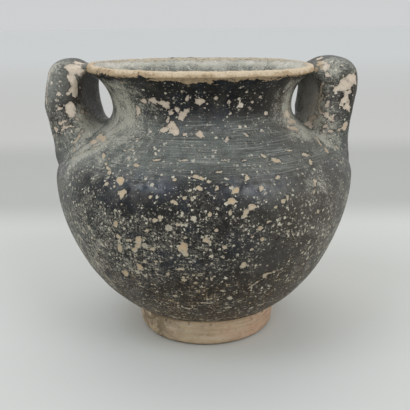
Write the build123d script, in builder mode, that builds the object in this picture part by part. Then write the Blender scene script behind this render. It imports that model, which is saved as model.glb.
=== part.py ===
"""Two-handled jar on a ring foot, made the way a potter puts one together: a thrown body and a thrown
neck, a turned foot ring, two thick strap handles, and the lutings of soft clay that bind each handle on.

Millimetres and degrees. The origin is the centre of the standing plane, +Z is up, the handles lie to
the left and right along X, and the front of the jar faces -Y.
"""

import os
from math import cos, radians, sin, sqrt, tan

from build123d import *

# Foot ring
foot_height = 11.0          # standing plane up to the bowl, at the outside
foot_radius = 28.0          # outside, on the standing plane
foot_seat_radius = 29.5     # outside, where the ring meets the bowl
foot_bore_radius = 22.5     # inside, on the standing plane
foot_bore_draft = 1.0       # how far the bore closes in towards the bowl
foot_recess = 6.2           # standing plane up to the underside of the bowl
foot_outer_edge = 2.0       # rounding of the standing edge, outside
foot_inner_edge = 1.0       # rounding of the standing edge, inside

# Thrown body
belly_radius = 60.5         # outside, at the widest
bowl_rise = 56.0            # from the foot ring up to the widest
shoulder_turn = 11.4        # outside radius of the turn from belly to shoulder
shoulder_slope = 36.0       # slope of the shoulder above the horizontal
wall = 4.0                  # thickness of the thrown wall
floor_thickness = 5.5
floor_fillet = 8.0          # inside, where the floor runs into the wall

# Neck and lip
neck_radius = 36.2          # outside, at the waist
neck_root_turn = 7.6        # outside radius of the hollow turn from shoulder to neck
neck_skirt = 3.0            # cone of the neck piece that lies on the shoulder
neck_bevel = 3.0            # slant of the scarfed joint, measured along the wall
flare_height = 15.7         # from the waist up to the lip
lip_radius = 45.5
lip_thickness = 3.2
lip_drop = 2.6              # height of the lip's upright outer face
lip_outer_edge = 1.8
lip_inner_edge = 0.9

# Strap handles
handle_set_back = 6.0       # both handles sit this far behind the left-right line
handle_gap = 0.9            # the upright inner face stands this far outside the lip
handle_thickness = 15.5     # of the upright part, measured outwards
handle_lean = 1.3           # the strap's foot stands this far inside the upright part
handle_drop = 10.5          # lip down to the strap's widest reach
handle_rise = 3.9           # top of the strap above the lip
handle_crown_reach = 7.2    # top of the strap, out from the lip
handle_haunch = 3.6         # how far the outer corner of the bend is drawn in from the widest reach
handle_haunch_drop = 2.0    # and down from the top
handle_bite = 3.5           # how far the strap's end reaches past the lip before it is cut to it
handle_tip_thickness = 1.6
handle_foot_width = 31.5    # where the strap stands on its lower luting
handle_tip_width = 20.0     # at the lip
handle_edge = 0.42          # rounding of the strap's edges, as a share of its thickness
handle_stations = 7         # steps between the sections that carry the strap

# Lutings
luting_height = 9.0         # the lower luting stands this high on the shoulder, at the strap's outside
luting_slant = 2.4          # and this much higher at the strap's inside
luting_width = 43.0         # where it meets the shoulder
luting_spread = 5.0         # how far it runs in towards the neck
luting_bury = 6.0           # how deep it reaches before it is cut to the shoulder
luting_tuck = 1.2           # and how far its buried end is drawn in towards the neck
luting_hollow = 0.3         # share of its flare that is reached half way down
wedge_bite = 1.2            # the upper luting reaches this far into the neck before it is cut to it
wedge_drop = 4.4            # the upper luting reaches this far below the lip's top
wedge_half_angle = 12.0     # half of the arc of the neck that it covers

# Heights and places that follow from the sizes above
belly_height = foot_height + bowl_rise
slope = radians(shoulder_slope)
uphill = Vector(-cos(slope), sin(slope))
outward = Vector(sin(slope), cos(slope))
shoulder_sweep = 90 - shoulder_slope
turn_end = Vector(belly_radius - shoulder_turn, belly_height) + outward * shoulder_turn
root_start_radius = neck_radius + neck_root_turn * (1 - sin(slope))


def shoulder_height(radius):
    """Height of the straight part of the shoulder's outside at a radius."""
    return turn_end.Y + (turn_end.X - radius) * tan(slope)


root_start = Vector(root_start_radius, shoulder_height(root_start_radius))
waist_height = root_start.Y + neck_root_turn * cos(slope)
rim_height = waist_height + flare_height
seat_bore_radius = foot_bore_radius - foot_bore_draft
floor_height = foot_recess + floor_thickness

# The scarf between shoulder and neck: its outer edge lies further down the slope than its inner edge
scarf_outer = root_start - uphill * (neck_skirt + neck_bevel)
scarf_inner = root_start - uphill * neck_skirt - outward * wall


# Body: one thrown wall from the floor to the shoulder, scarfed at the top for the neck
bowl_inset = belly_radius - foot_seat_radius
bowl_arc_radius = (bowl_inset**2 + bowl_rise**2) / (2 * bowl_inset)
inside_arc_radius = bowl_arc_radius - wall
floor_radius = (
    belly_radius - bowl_arc_radius + sqrt(inside_arc_radius**2 - (belly_height - floor_height) ** 2)
)

# The body's outside as a full lump, which also trims the handles and lutings to the shoulder
with BuildPart() as body_lump:
    with BuildSketch(Plane.XZ):
        with BuildLine():
            Polyline((0, foot_recess), (seat_bore_radius, foot_recess), (foot_seat_radius, foot_height))
            TangentArc((belly_radius, belly_height), (foot_seat_radius, foot_height), tangent=(0, -1))
            outer_turn = JernArc((belly_radius, belly_height), (0, 1), shoulder_turn, shoulder_sweep)
            Polyline(outer_turn @ 1, scarf_outer, scarf_inner, (0, scarf_inner.Y), (0, foot_recess))
        make_face()
    revolve(axis=Axis.Z)

with BuildPart() as body:
    add(body_lump.part)
    with BuildSketch(Plane.XZ) as cavity_section:
        with BuildLine():
            inside_belly = (belly_radius - wall, belly_height)
            TangentArc(inside_belly, (floor_radius, floor_height), tangent=(0, -1))
            inner_turn = JernArc(inside_belly, (0, 1), shoulder_turn - wall, shoulder_sweep)
            Polyline(
                inner_turn @ 1,
                scarf_inner,
                (0, scarf_inner.Y),
                (0, floor_height),
                (floor_radius, floor_height),
            )
        make_face()
        floor_corner = cavity_section.vertices().sort_by_distance((floor_radius, floor_height))[0]
        fillet(floor_corner, radius=floor_fillet)
    revolve(axis=Axis.Z, mode=Mode.SUBTRACT)
body.part.label = "body"


# Neck: a conical skirt on the shoulder, a hollow turn to the waist, and the flare with its lip.
# Its outside is a full lump first, which also trims the handles and lutings to the neck
mouth_radius = lip_radius - lip_thickness

with BuildPart() as neck_lump:
    with BuildSketch(Plane.XZ) as neck_outline:
        with BuildLine():
            Polyline((0, scarf_inner.Y), scarf_inner, scarf_outer, root_start)
            outer_root = JernArc(root_start, uphill, neck_root_turn, -shoulder_sweep)
            TangentArc(outer_root @ 1, (lip_radius, rim_height - lip_drop), tangent=(0, 1))
            Polyline(
                (lip_radius, rim_height - lip_drop),
                (lip_radius, rim_height),
                (0, rim_height),
                (0, scarf_inner.Y),
            )
        make_face()
        lip_corner = neck_outline.vertices().sort_by_distance((lip_radius, rim_height))[0]
        fillet(lip_corner, radius=lip_outer_edge)
    revolve(axis=Axis.Z)

with BuildPart() as neck:
    add(neck_lump.part)
    with BuildSketch(Plane.XZ):
        with BuildLine():
            Polyline((0, scarf_inner.Y), scarf_inner, root_start - outward * wall)
            inner_root = JernArc(root_start - outward * wall, uphill, neck_root_turn + wall, -shoulder_sweep)
            TangentArc(inner_root @ 1, (mouth_radius, rim_height), tangent=(0, 1))
            Polyline((mouth_radius, rim_height), (0, rim_height), (0, scarf_inner.Y))
        make_face()
    revolve(axis=Axis.Z, mode=Mode.SUBTRACT)
    mouth_edge = neck.edges().filter_by(GeomType.CIRCLE).sort_by_distance((mouth_radius, 0, rim_height))[0]
    fillet(mouth_edge, radius=lip_inner_edge)
neck.part.label = "neck"


# Foot ring: seated on the cone under the bowl, standing on a flat ring
with BuildPart() as foot_ring:
    with BuildSketch(Plane.XZ) as foot_section:
        with BuildLine():
            Polyline(
                (foot_bore_radius, 0),
                (foot_radius, 0),
                (foot_seat_radius, foot_height),
                (seat_bore_radius, foot_recess),
                close=True,
            )
        make_face()
        outer_foot_corner = foot_section.vertices().sort_by_distance((foot_radius, 0))[0]
        fillet(outer_foot_corner, radius=foot_outer_edge)
        inner_foot_corner = foot_section.vertices().sort_by_distance((foot_bore_radius, 0))[0]
        fillet(inner_foot_corner, radius=foot_inner_edge)
    revolve(axis=Axis.Z)
foot_ring.part.label = "foot_ring"


# Right handle: a strap between an inside and an outside curve, drawn in its own upright plane
# with the distance from the jar's axis across and the height up
handle_inside = lip_radius + handle_gap
handle_outside = handle_inside + handle_thickness
strap_middle = handle_inside + handle_thickness / 2
foot_level = shoulder_height(strap_middle) + luting_height
reach_level = rim_height - handle_drop
crown_height = rim_height + handle_rise
tip_radius = lip_radius - handle_bite
tip_level = rim_height - lip_drop
strap_foot_inside = Vector(handle_inside - handle_lean, foot_level + luting_slant)
strap_foot_outside = Vector(handle_outside - handle_lean, foot_level)
rising = Vector(handle_lean, reach_level - foot_level)

with BuildLine() as strap_inside:
    Spline(
        strap_foot_inside,
        (handle_inside, reach_level),
        (tip_radius, tip_level),
        tangents=[rising, (-1, 0)],
    )

with BuildLine() as strap_outside:
    Spline(
        strap_foot_outside,
        (handle_outside, reach_level),
        (handle_outside - handle_haunch, crown_height - handle_haunch_drop),
        (lip_radius + handle_crown_reach, crown_height),
        (tip_radius, tip_level + handle_tip_thickness),
        tangents=[rising, (-1, -1)],
    )

around = radians(handle_set_back)
outwards = Vector(cos(around), sin(around), 0)
backwards = Vector(-sin(around), cos(around), 0)


def strap_plane(inside, outside):
    """Plane across the strap through its inside and outside points, facing along its run."""
    middle = (inside + outside) / 2
    reach = outside - inside
    across = (outwards * reach.X + Vector(0, 0, reach.Y)).normalized()
    return Plane(
        origin=outwards * middle.X + Vector(0, 0, middle.Y), x_dir=backwards, z_dir=backwards.cross(across)
    )


with BuildPart() as right_handle:
    for station in range(handle_stations + 1):
        share = station / handle_stations
        inside = strap_inside.line @ share
        outside = strap_outside.line @ share
        with BuildSketch(strap_plane(inside, outside)):
            thickness = (outside - inside).length
            width = handle_foot_width + share * (handle_tip_width - handle_foot_width)
            RectangleRounded(width, thickness, handle_edge * thickness)
    loft()
    add(neck_lump.part, mode=Mode.SUBTRACT)
right_handle.part.label = "right_handle"


# Right lower luting: the flared foot of clay that spreads the strap onto the shoulder
luting_inside = strap_foot_inside.X - luting_spread
luting_outside = strap_foot_outside.X - handle_lean
luting_sections = [
    (
        Vector(luting_inside - luting_tuck, shoulder_height(luting_inside) - luting_bury),
        Vector(luting_outside - luting_tuck, shoulder_height(luting_outside) - luting_bury),
        luting_width,
    ),
    (
        Vector(luting_inside + luting_spread / 2, foot_level),
        Vector(luting_outside, shoulder_height(luting_outside) + luting_height / 2),
        handle_foot_width + luting_hollow * (luting_width - handle_foot_width),
    ),
    (strap_foot_inside, strap_foot_outside, handle_foot_width),
]
with BuildPart() as right_lower_luting:
    for inside, outside, width in luting_sections:
        with BuildSketch(strap_plane(inside, outside)):
            thickness = (outside - inside).length
            RectangleRounded(width, thickness, handle_edge * thickness)
    loft()
    add([body_lump.part, neck_lump.part], mode=Mode.SUBTRACT)
right_lower_luting.part.label = "right_lower_luting"


# Right upper luting: a wedge of clay pressed up into the crevice under the lip
flare_reach = lip_radius - neck_radius
flare_run = flare_height - lip_drop
flare_arc_radius = (flare_reach**2 + flare_run**2) / (2 * flare_reach)
wedge_foot_height = rim_height - wedge_drop
wedge_top_height = rim_height - lip_drop / 2
wedge_rise = wedge_foot_height - waist_height
wedge_foot_radius = neck_radius + flare_arc_radius - sqrt(flare_arc_radius**2 - wedge_rise**2)

with BuildPart() as right_upper_luting:
    with BuildSketch(Plane.XZ.rotated((0, 0, handle_set_back - wedge_half_angle))):
        with BuildLine():
            Polyline(
                (wedge_foot_radius - wedge_bite, wedge_foot_height),
                (strap_middle, wedge_foot_height),
                (strap_middle, wedge_top_height),
                (lip_radius - wedge_bite, wedge_top_height),
                close=True,
            )
        make_face()
    revolve(axis=Axis.Z, revolution_arc=2 * wedge_half_angle)
    add([neck_lump.part, right_handle.part], mode=Mode.SUBTRACT)
right_upper_luting.part.label = "right_upper_luting"


# The left handle and its lutings mirror the right ones
with BuildPart() as left_handle:
    mirror(right_handle.part, about=Plane.YZ)
left_handle.part.label = "left_handle"

with BuildPart() as left_lower_luting:
    mirror(right_lower_luting.part, about=Plane.YZ)
left_lower_luting.part.label = "left_lower_luting"

with BuildPart() as left_upper_luting:
    mirror(right_upper_luting.part, about=Plane.YZ)
left_upper_luting.part.label = "left_upper_luting"


os.makedirs("parts", exist_ok=True)
for piece in (
    body,
    neck,
    foot_ring,
    right_handle,
    right_lower_luting,
    right_upper_luting,
    left_handle,
    left_lower_luting,
    left_upper_luting,
):
    export_step(piece.part, f"parts/{piece.part.label}.step")
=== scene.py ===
"""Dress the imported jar: a two-handled pot in worn black slip, standing on a pale table."""

from __future__ import annotations

import logging
import math
import random
from dataclasses import dataclass, field
from enum import Enum
from functools import cached_property, partial
from typing import Any, Callable, Mapping, Sequence, Union

import bpy
import numpy as np
from mathutils import Matrix, Vector


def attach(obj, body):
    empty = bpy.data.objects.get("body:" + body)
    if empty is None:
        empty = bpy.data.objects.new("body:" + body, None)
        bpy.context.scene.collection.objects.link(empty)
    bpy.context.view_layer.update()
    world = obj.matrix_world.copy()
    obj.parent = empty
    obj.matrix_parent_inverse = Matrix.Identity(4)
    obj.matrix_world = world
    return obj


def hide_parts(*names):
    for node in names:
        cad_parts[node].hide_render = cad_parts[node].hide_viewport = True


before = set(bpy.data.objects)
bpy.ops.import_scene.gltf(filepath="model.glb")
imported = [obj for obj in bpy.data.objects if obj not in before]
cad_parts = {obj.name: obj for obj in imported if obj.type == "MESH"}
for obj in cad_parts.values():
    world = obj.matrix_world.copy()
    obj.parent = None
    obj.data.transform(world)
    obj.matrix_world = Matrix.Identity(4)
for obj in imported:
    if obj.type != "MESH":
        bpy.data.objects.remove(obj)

log = logging.getLogger("jar")

MM = 0.001
FULL_TURN = 2.0 * math.pi
CIRCLE = 360.0
TINY = 1e-12

Spot = tuple[float, float]  # two numbers that say where something is
Span = tuple[float, float]  # where something starts, and where it is complete
Cell = tuple[int, int]  # a row and a column of a surface
Colour = tuple[float, float, float]
Numbers = tuple[float, ...]
Array = np.ndarray
Material = bpy.types.Material
Thing = bpy.types.Object


class Slot(Enum):
    """The record's two material slots."""

    SLIPPED = "slipped_clay"
    BARE = "bare_clay"


class Side(Enum):
    """A handle's side, as its direction along X."""

    RIGHT = 1
    LEFT = -1

    def piece(self, name: str) -> str:
        """The name of this side's piece."""
        return f"{self.name.lower()}_{name}"


class Reading(Enum):
    """What each point of a surface carries for its finish."""

    CHIP = "chip"  # millimetres to the nearest chip's edge, negative inside it
    FLAKE = "flake"  # how thickly small flakes lie, 0 to 1
    BLOOM = "bloom"  # how much pale grey bloom lies on the slip, 0 to 1 and a little over
    BROWN = "brown"  # how brown the slip fired, 0 to 1
    DUST = "dust"  # how much pale burial crust clings to it, 0 to 1 and a little over; past 1 on the right strap's shaded inner face it stands for painted light
    SHEEN = "sheen"  # how well the slip kept its polish, 0 to 1; where it is high, a bluish highlight is also painted into the slip's colour


# The true sizes


@dataclass(frozen=True)
class JarSizes:
    """The thrown jar's sizes in millimetres, as in the part's source."""

    foot_height: float = 11.0
    foot_radius: float = 28.0
    foot_seat_radius: float = 29.5
    foot_bore_radius: float = 22.5
    seat_bore_radius: float = 21.5
    foot_recess: float = 6.2
    belly_radius: float = 60.5
    belly_height: float = 67.0
    shoulder_turn: float = 11.4
    shoulder_slope: float = 36.0
    wall: float = 4.0
    floor_height: float = 11.7
    neck_radius: float = 36.2
    neck_root_turn: float = 7.6
    scarf_outer: float = 6.0
    scarf_inner: float = 3.0
    flare_height: float = 15.7
    lip_radius: float = 45.5
    lip_thickness: float = 2.7
    lip_drop: float = 2.2
    lip_edge: float = 1.2

    @property
    def bowl_arc_radius(self) -> float:
        """Radius of the bowl's outside in section."""
        inset = self.belly_radius - self.foot_seat_radius
        rise = self.belly_height - self.foot_height
        return (inset**2 + rise**2) / (2 * inset)

    @property
    def bowl_centre(self) -> Spot:
        """Centre of the bowl's arc."""
        return (self.belly_radius - self.bowl_arc_radius, self.belly_height)

    @property
    def turn_centre(self) -> Spot:
        """Centre of the arc where belly turns into shoulder."""
        return (self.belly_radius - self.shoulder_turn, self.belly_height)

    @property
    def shoulder_sweep(self) -> float:
        """Degrees that the wall turns through between upright and the shoulder's slope."""
        return 90.0 - self.shoulder_slope

    @property
    def turn_end(self) -> Spot:
        """Where the straight slope of the shoulder begins."""
        return self.on_turn(self.shoulder_turn)

    @property
    def root_start(self) -> Spot:
        """Where the neck starts to rise from the slope."""
        slope = math.radians(self.shoulder_slope)
        radius = self.neck_radius + self.neck_root_turn * (1.0 - math.sin(slope))
        return (radius, self.turn_end[1] + (self.turn_end[0] - radius) * math.tan(slope))

    @property
    def root_centre(self) -> Spot:
        """Centre of the hollow turn at the neck's root."""
        slope = math.radians(self.shoulder_slope)
        height = self.root_start[1] + self.neck_root_turn * math.cos(slope)
        return (self.neck_radius + self.neck_root_turn, height)

    @property
    def rim_height(self) -> float:
        """Height of the lip's top."""
        return self.root_centre[1] + self.flare_height

    def on_turn(self, radius: float) -> Spot:
        """The upper end of an arc about the centre of the shoulder's turn.

        Args:
            radius: The arc's radius.

        Returns:
            The end's radius and height.
        """
        painted_sweep_shade = math.radians(self.shoulder_sweep)
        out, up = self.turn_centre
        return (out + radius * math.cos(painted_sweep_shade), up + radius * math.sin(painted_sweep_shade))

    def down_slope(self, distance: float, depth: float = 0.0) -> Spot:
        """A point down the shoulder from the neck's root.

        Args:
            distance: How far down the slope.
            depth: How far into the wall.

        Returns:
            Its radius and height.
        """
        slope = math.radians(self.shoulder_slope)
        radius, height = self.root_start
        return (
            radius + distance * math.cos(slope) - depth * math.sin(slope),
            height - distance * math.sin(slope) - depth * math.cos(slope),
        )

    def flare_centre(self, waist: float, end: Spot) -> Spot:
        """Centre of an arc that leaves the waist upright and ends at a point of the lip.

        Args:
            waist: The waist's radius.
            end: Radius and height of the arc's end.

        Returns:
            The centre's radius and height.
        """
        rise, reach = end[1] - self.root_centre[1], end[0] - waist
        return (waist + (reach**2 + rise**2) / (2 * reach), self.root_centre[1])


SIZES = JarSizes()


# Sums that several pieces need


def bearing(centre: Spot, point: Spot) -> float:
    """The angle of a point as seen from a centre, in degrees."""
    return math.degrees(math.atan2(point[1] - centre[1], point[0] - centre[0]))


def ramp(values: Array, start: float, end: float) -> Array:
    """0 before start and 1 past end, straight between; with end below start it falls."""
    return np.clip((values - start) / (end - start), 0.0, 1.0)


def angles(points: Array) -> Array:
    """Degrees from the front towards the right handle, seen from the jar's axis."""
    return np.degrees(np.arctan2(points[..., 0], -points[..., 1]))


def unit(vectors: Array) -> Array:
    """Vectors made one long."""
    return vectors / np.maximum(np.linalg.norm(vectors, axis=-1, keepdims=True), TINY)


def squares(vectors: Array) -> Array:
    """The square of each vector's length."""
    return np.einsum("...i,...i->...", vectors, vectors)


def run_of(points: Array) -> Array:
    """How far along a line each of its points is."""
    return np.concatenate([[0.0], np.cumsum(np.linalg.norm(np.diff(points, axis=0), axis=1))])


# Unevenness shared by all pieces


@dataclass(frozen=True)
class Ripple:
    """Smooth unevenness in space, made of slanted waves of about one length."""

    length: float
    seed: int
    amount: float = 1.0
    waves: int = 9
    spread: Span = (0.7, 1.5)  # the waves' lengths, as shares of the length

    def at(self, points: Array) -> Array:
        """The unevenness at some points.

        Args:
            points: Places in millimetres, with x, y and z along the last axis.

        Returns:
            One value a point, mostly within the amount of zero.
        """
        dice = random.Random(self.seed)
        total = np.zeros(points.shape[:-1])
        for _ in range(self.waves):
            heading = np.array([dice.gauss(0, 1) for _ in range(3)])
            length = self.length * dice.uniform(*self.spread)
            heading *= FULL_TURN / (np.linalg.norm(heading) * length)
            total += np.sin(points @ heading + dice.uniform(0, FULL_TURN))
        return self.amount * total / math.sqrt(2.0 * self.waves)


Ripples = tuple[Ripple, ...]


def added(ripples: Ripples, points: Array) -> Array:
    """Several ripples added up at some points."""
    return sum(ripple.at(points) for ripple in ripples)


@dataclass(frozen=True)
class HandOfPotter:
    """How the whole jar departs from a true turned shape, the same for every piece."""

    # Heights, and how far the jar's middle lies to the right of the foot's there
    lean_heights: Numbers = (0.0, 15.0, 30.0, 45.0, 58.0, 70.0, 82.0, 95.0, 110.0)
    lean: Numbers = (0.0, -0.25, -0.6, -0.75, -0.6, -0.4, -0.55, -0.95, -1.35)
    # Sway along each axis, none of it where the foot stands on the table
    sway: Ripples = (Ripple(58.0, 11, 0.16), Ripple(61.0, 12, 0.16), Ripple(55.0, 13, 0.16))
    settled: Span = (0.0, 14.0)
    tilt_start: float = 92.0  # above this the mouth tips up towards the front
    tilt: float = 0.55  # rise of the mouth at the sides; twice that in front and none behind
    tilt_reach: float = 44.0
    # Degrees from the front towards the right handle, and how far the lip was pulled up there
    pull_angles: Numbers = (
        -180.0, -135.0, -105.0, -85.0, -60.0, -40.0, -20.0,
        0.0, 30.0, 55.0, 80.0, 105.0, 130.0, 180.0,
    )
    pull: Numbers = (
        0.85, 0.95, 1.35, 1.2, 1.0, 0.8, 0.5, 0.3, 0.2, 0.0, -0.1, 0.15, 0.7, 0.85,
    )
    pull_start: float = 98.0
    pull_radii: Span = (51.0, 46.5)  # none on the handles, full to the lip's edge
    curl: float = 1.5  # tilt and pull grow faster towards the top

    def settle(self, points: Array) -> Array:
        """Lean and sway some true points.

        Args:
            points: Places in millimetres.

        Returns:
            The places on the jar as it was fired.
        """
        x, y, height = np.moveaxis(points, -1, 0)
        sway = np.stack([ripple.at(points) for ripple in self.sway], axis=-1)
        moved = points + ramp(height, *self.settled)[..., None] * sway
        moved[..., 0] += np.interp(height, self.lean_heights, self.lean)
        tipped = ramp(height, self.tilt_start, SIZES.rim_height) ** self.curl
        moved[..., 2] += self.tilt * tipped * (1.0 - y / self.tilt_reach)
        drawn = ramp(height, self.pull_start, SIZES.rim_height) ** self.curl
        drawn = drawn * ramp(np.hypot(x, y), *self.pull_radii)
        moved[..., 2] += np.interp(angles(points), self.pull_angles, self.pull) * drawn
        return moved


POTTER = HandOfPotter()


# Surfaces and their wear


@dataclass
class Surface:
    """Rows and columns of points in millimetres, closed round its columns."""

    points: Array
    same_way: float = 0.2  # points face the same way if their normals' product is above this

    @cached_property
    def facing(self) -> Array:
        """The unit normal at each point, by the right-hand rule from columns to rows."""
        around = np.roll(self.points, -1, axis=1) - np.roll(self.points, 1, axis=1)
        return unit(np.cross(around, np.gradient(self.points, axis=0)))

    def push(self, distance: Array) -> Surface:
        """This surface moved along its normals."""
        return Surface(self.points + distance[..., None] * self.facing)

    def near(self, cell: Cell, reach: float) -> tuple[Array, Array, Array]:
        """Which points lie near a place, and how far along the level and upright there.

        Args:
            cell: Row and column of the place.
            reach: How far away a point may be, in millimetres.

        Returns:
            A mask of the near points that face the same way, and their two distances.
        """
        normal = self.facing[cell]
        offset = self.points - self.points[cell]
        mask = (squares(offset) < reach**2) & (self.facing @ normal > self.same_way)
        level = unit(np.cross((0.0, 0.0, 1.0), normal))
        return mask, offset[mask] @ level, offset[mask] @ np.cross(normal, level)


@dataclass(frozen=True)
class Chip:
    """A place where the slip broke away, by its half length and half width in millimetres.

    On the thrown wall, place is the angle from the front towards the right handle in degrees, then
    the height. On a strap it is the share of the way from lip to shoulder, then the angle round
    the strap.
    """

    place: Spot
    length: float
    width: float
    turn: float


@dataclass(frozen=True)
class Patch:
    """A soft-edged patch of some reading, placed as a chip is."""

    place: Spot
    reach: float
    amount: float


@dataclass(frozen=True)
class Wear:
    """The wear of one surface: its chips, and its soft patches by reading."""

    chips: tuple[Chip, ...]
    patches: Mapping[Reading, tuple[Patch, ...]]
    ragged: Ripples = (Ripple(5.0, 31, 0.34), Ripple(2.2, 32, 0.22), Ripple(1.1, 33, 0.12))
    most_ragged: float = 2.0  # chips of more than this size are no more ragged
    trim: float = 0.90  # the clay shows over this much of a chip's length and width
    search: float = 1.8  # an edge is looked for as far as this many lengths from a chip's middle
    widest: float = 3.0  # distances stop growing this far outside a chip
    dent_slope: Span = (0.35, -0.35)  # from a chip's edge outwards and inwards
    dent_depth: float = 0.26
    dent_grain: Ripple = Ripple(1.6, 53, 0.06)

    def edges(self, surface: Surface, cell_of: Callable[[Spot], Cell]) -> Array:
        """Distance to the nearest chip's ragged edge.

        Args:
            surface: The surface that carries the chips.
            cell_of: Turns a chip's place into row and column.

        Returns:
            Millimetres at each point, negative inside a chip.
        """
        reading = np.full(surface.points.shape[:2], self.widest)
        for chip in self.chips:
            reach = self.search * chip.length + self.widest
            near, level, upright = surface.near(cell_of(chip.place), reach)
            turn = math.radians(chip.turn)
            along = level * math.cos(turn) + upright * math.sin(turn)
            across = upright * math.cos(turn) - level * math.sin(turn)
            length, width = self.trim * chip.length, self.trim * chip.width
            share = np.sqrt((along / length) ** 2 + (across / width) ** 2)
            size = min(math.sqrt(length * width), self.most_ragged)
            edge = (share - 1.0) * width + size * added(self.ragged, surface.points[near])
            reading[near] = np.minimum(reading[near], edge)
        return reading

    def dents(self, edges: Array, points: Array) -> Array:
        """How far chips stand out from the slip.

        Args:
            edges: Distances to the nearest chip's edge.
            points: The surface's true points.

        Returns:
            Millimetres, negative where a chip is sunk.
        """
        return ramp(edges, *self.dent_slope) * (self.dent_grain.at(points) - self.dent_depth)

    def amount(
        self, reading: Reading, surface: Surface, cell_of: Callable[[Spot], Cell]
    ) -> Array:
        """The sum of a reading's patches.

        Args:
            reading: Which reading.
            surface: The surface that carries the patches.
            cell_of: Turns a patch's place into row and column.

        Returns:
            The patches' amounts at each point, added up.
        """
        total = np.zeros(surface.points.shape[:2])
        for patch in self.patches[reading]:
            offset = surface.points - surface.points[cell_of(patch.place)]
            total += patch.amount * np.exp(-squares(offset) / patch.reach**2)
        return total


# Objects and meshes


def set_out(name: str, data: bpy.types.ID) -> Thing:
    """Put a new object in the scene.

    Args:
        name: Its name.
        data: Its mesh, light or camera.

    Returns:
        The object.
    """
    thing = bpy.data.objects.new(name, data)
    bpy.context.scene.collection.objects.link(thing)
    return thing


@dataclass
class Piece:
    """One named piece of the jar: part of a surface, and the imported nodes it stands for."""

    name: str
    nodes: tuple[str, ...]
    slot: Slot
    surface: Surface
    readings: Mapping[Reading, Array]
    rows: Sequence[int]
    first_cap: bool = False
    last_cap: bool = False

    def faces(self, place: Mapping[int, int]) -> list[list[int]]:
        """The piece's faces.

        Args:
            place: Where each row of the surface stands among the rows kept.

        Returns:
            The numbers of each face's corners.
        """
        columns = self.surface.points.shape[1]
        turn = np.arange(columns)
        following = (turn + 1) % columns
        starts = [place[row] * columns for row in self.rows]
        found: list[list[int]] = []
        for low, high in zip(starts[:-1], starts[1:]):
            ring = [low + turn, low + following, high + following, high + turn]
            found.extend(np.stack(ring, axis=1).tolist())
        if self.first_cap:
            found.append((starts[0] + turn[::-1]).tolist())
        if self.last_cap:
            found.append((starts[-1] + turn).tolist())
        return found

    def build(self, material: Material) -> Thing:
        """Make the piece's object, riding on the jar.

        Args:
            material: The finish that it wears.

        Returns:
            The new object.
        """
        kept = sorted(set(self.rows))
        points = self.surface.points[kept].reshape(-1, 3) * MM
        faces = self.faces({row: index for index, row in enumerate(kept)})
        mesh = bpy.data.meshes.new(self.name)
        mesh.from_pydata(points.tolist(), [], faces)
        mesh.shade_smooth()
        normals = self.surface.facing[kept].reshape(-1, 3)
        mesh.normals_split_custom_set_from_vertices(normals.tolist())
        for reading, values in self.readings.items():
            layer = mesh.attributes.new(reading.value, "FLOAT", "POINT")
            layer.data.foreach_set("value", values[kept].astype(np.float32).ravel())
        mesh.materials.append(material)
        piece = set_out(self.name, mesh)
        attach(piece, "root")
        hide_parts(*self.nodes)
        log.info("%s: %d points, %d faces", self.name, len(points), len(faces))
        return piece


@dataclass
class Outline:
    """A thrown outline, drawn as radius and height in millimetres at even steps."""

    points: list[Spot] = field(default_factory=list)
    marks: dict[str, int] = field(default_factory=dict)

    def start(self, radius: float, height: float) -> Outline:
        """Begin at a point."""
        self.points.append((radius, height))
        return self

    def line(self, radius: float, height: float, step: float) -> Outline:
        """Draw a straight run to a point.

        Args:
            radius: The end's radius.
            height: The end's height.
            step: The spacing of the points along the run.

        Returns:
            This outline.
        """
        out, up = self.points[-1]
        count = max(1, round(math.dist((out, up), (radius, height)) / step))
        for share in np.linspace(0.0, 1.0, count + 1)[1:]:
            self.points.append((out + share * (radius - out), up + share * (height - up)))
        return self

    def arc(self, centre: Spot, start: float, end: float, step: float) -> Outline:
        """Draw an arc round a centre, from the last point.

        Args:
            centre: Its radius and height.
            start: The angle of the last point as seen from the centre, in degrees.
            end: The angle where the arc ends.
            step: The spacing of the points along the arc.

        Returns:
            This outline.
        """
        radius = math.dist(centre, self.points[-1])
        count = max(2, round(math.radians(abs(end - start)) * radius / step))
        for turn in np.radians(np.linspace(start, end, count + 1)[1:]):
            out, up = radius * math.cos(turn), radius * math.sin(turn)
            self.points.append((centre[0] + out, centre[1] + up))
        return self

    def mark(self, name: str) -> Outline:
        """Remember the row of the last point."""
        self.marks[name] = len(self.points) - 1
        return self

    def soften(self, low: int, high: int, passes: int) -> None:
        """Round off the corners of part of the outline.

        Args:
            low: First row of the part.
            high: The row after the last.
            passes: How many times to average each row with its neighbours.
        """
        rows = np.array(self.points)
        for _ in range(passes):
            around = rows[low - 1 : high - 1] + rows[low + 1 : high + 1]
            rows[low:high] = (around + 2.0 * rows[low:high]) / 4.0
        self.points = [tuple(row) for row in rows]

    def turned(self, columns: int) -> Array:
        """The outline turned round the jar's axis.

        Args:
            columns: How many points to a turn.

        Returns:
            Rows of points, from the back by way of the left handle and the front.
        """
        turn = np.linspace(-math.pi, math.pi, columns, endpoint=False)
        radius, height = np.array(self.points).T
        x, y = np.outer(radius, np.sin(turn)), np.outer(radius, -np.cos(turn))
        return np.stack([x, y, np.outer(height, np.ones(columns))], axis=-1)


# The thrown wall: body and neck


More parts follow.
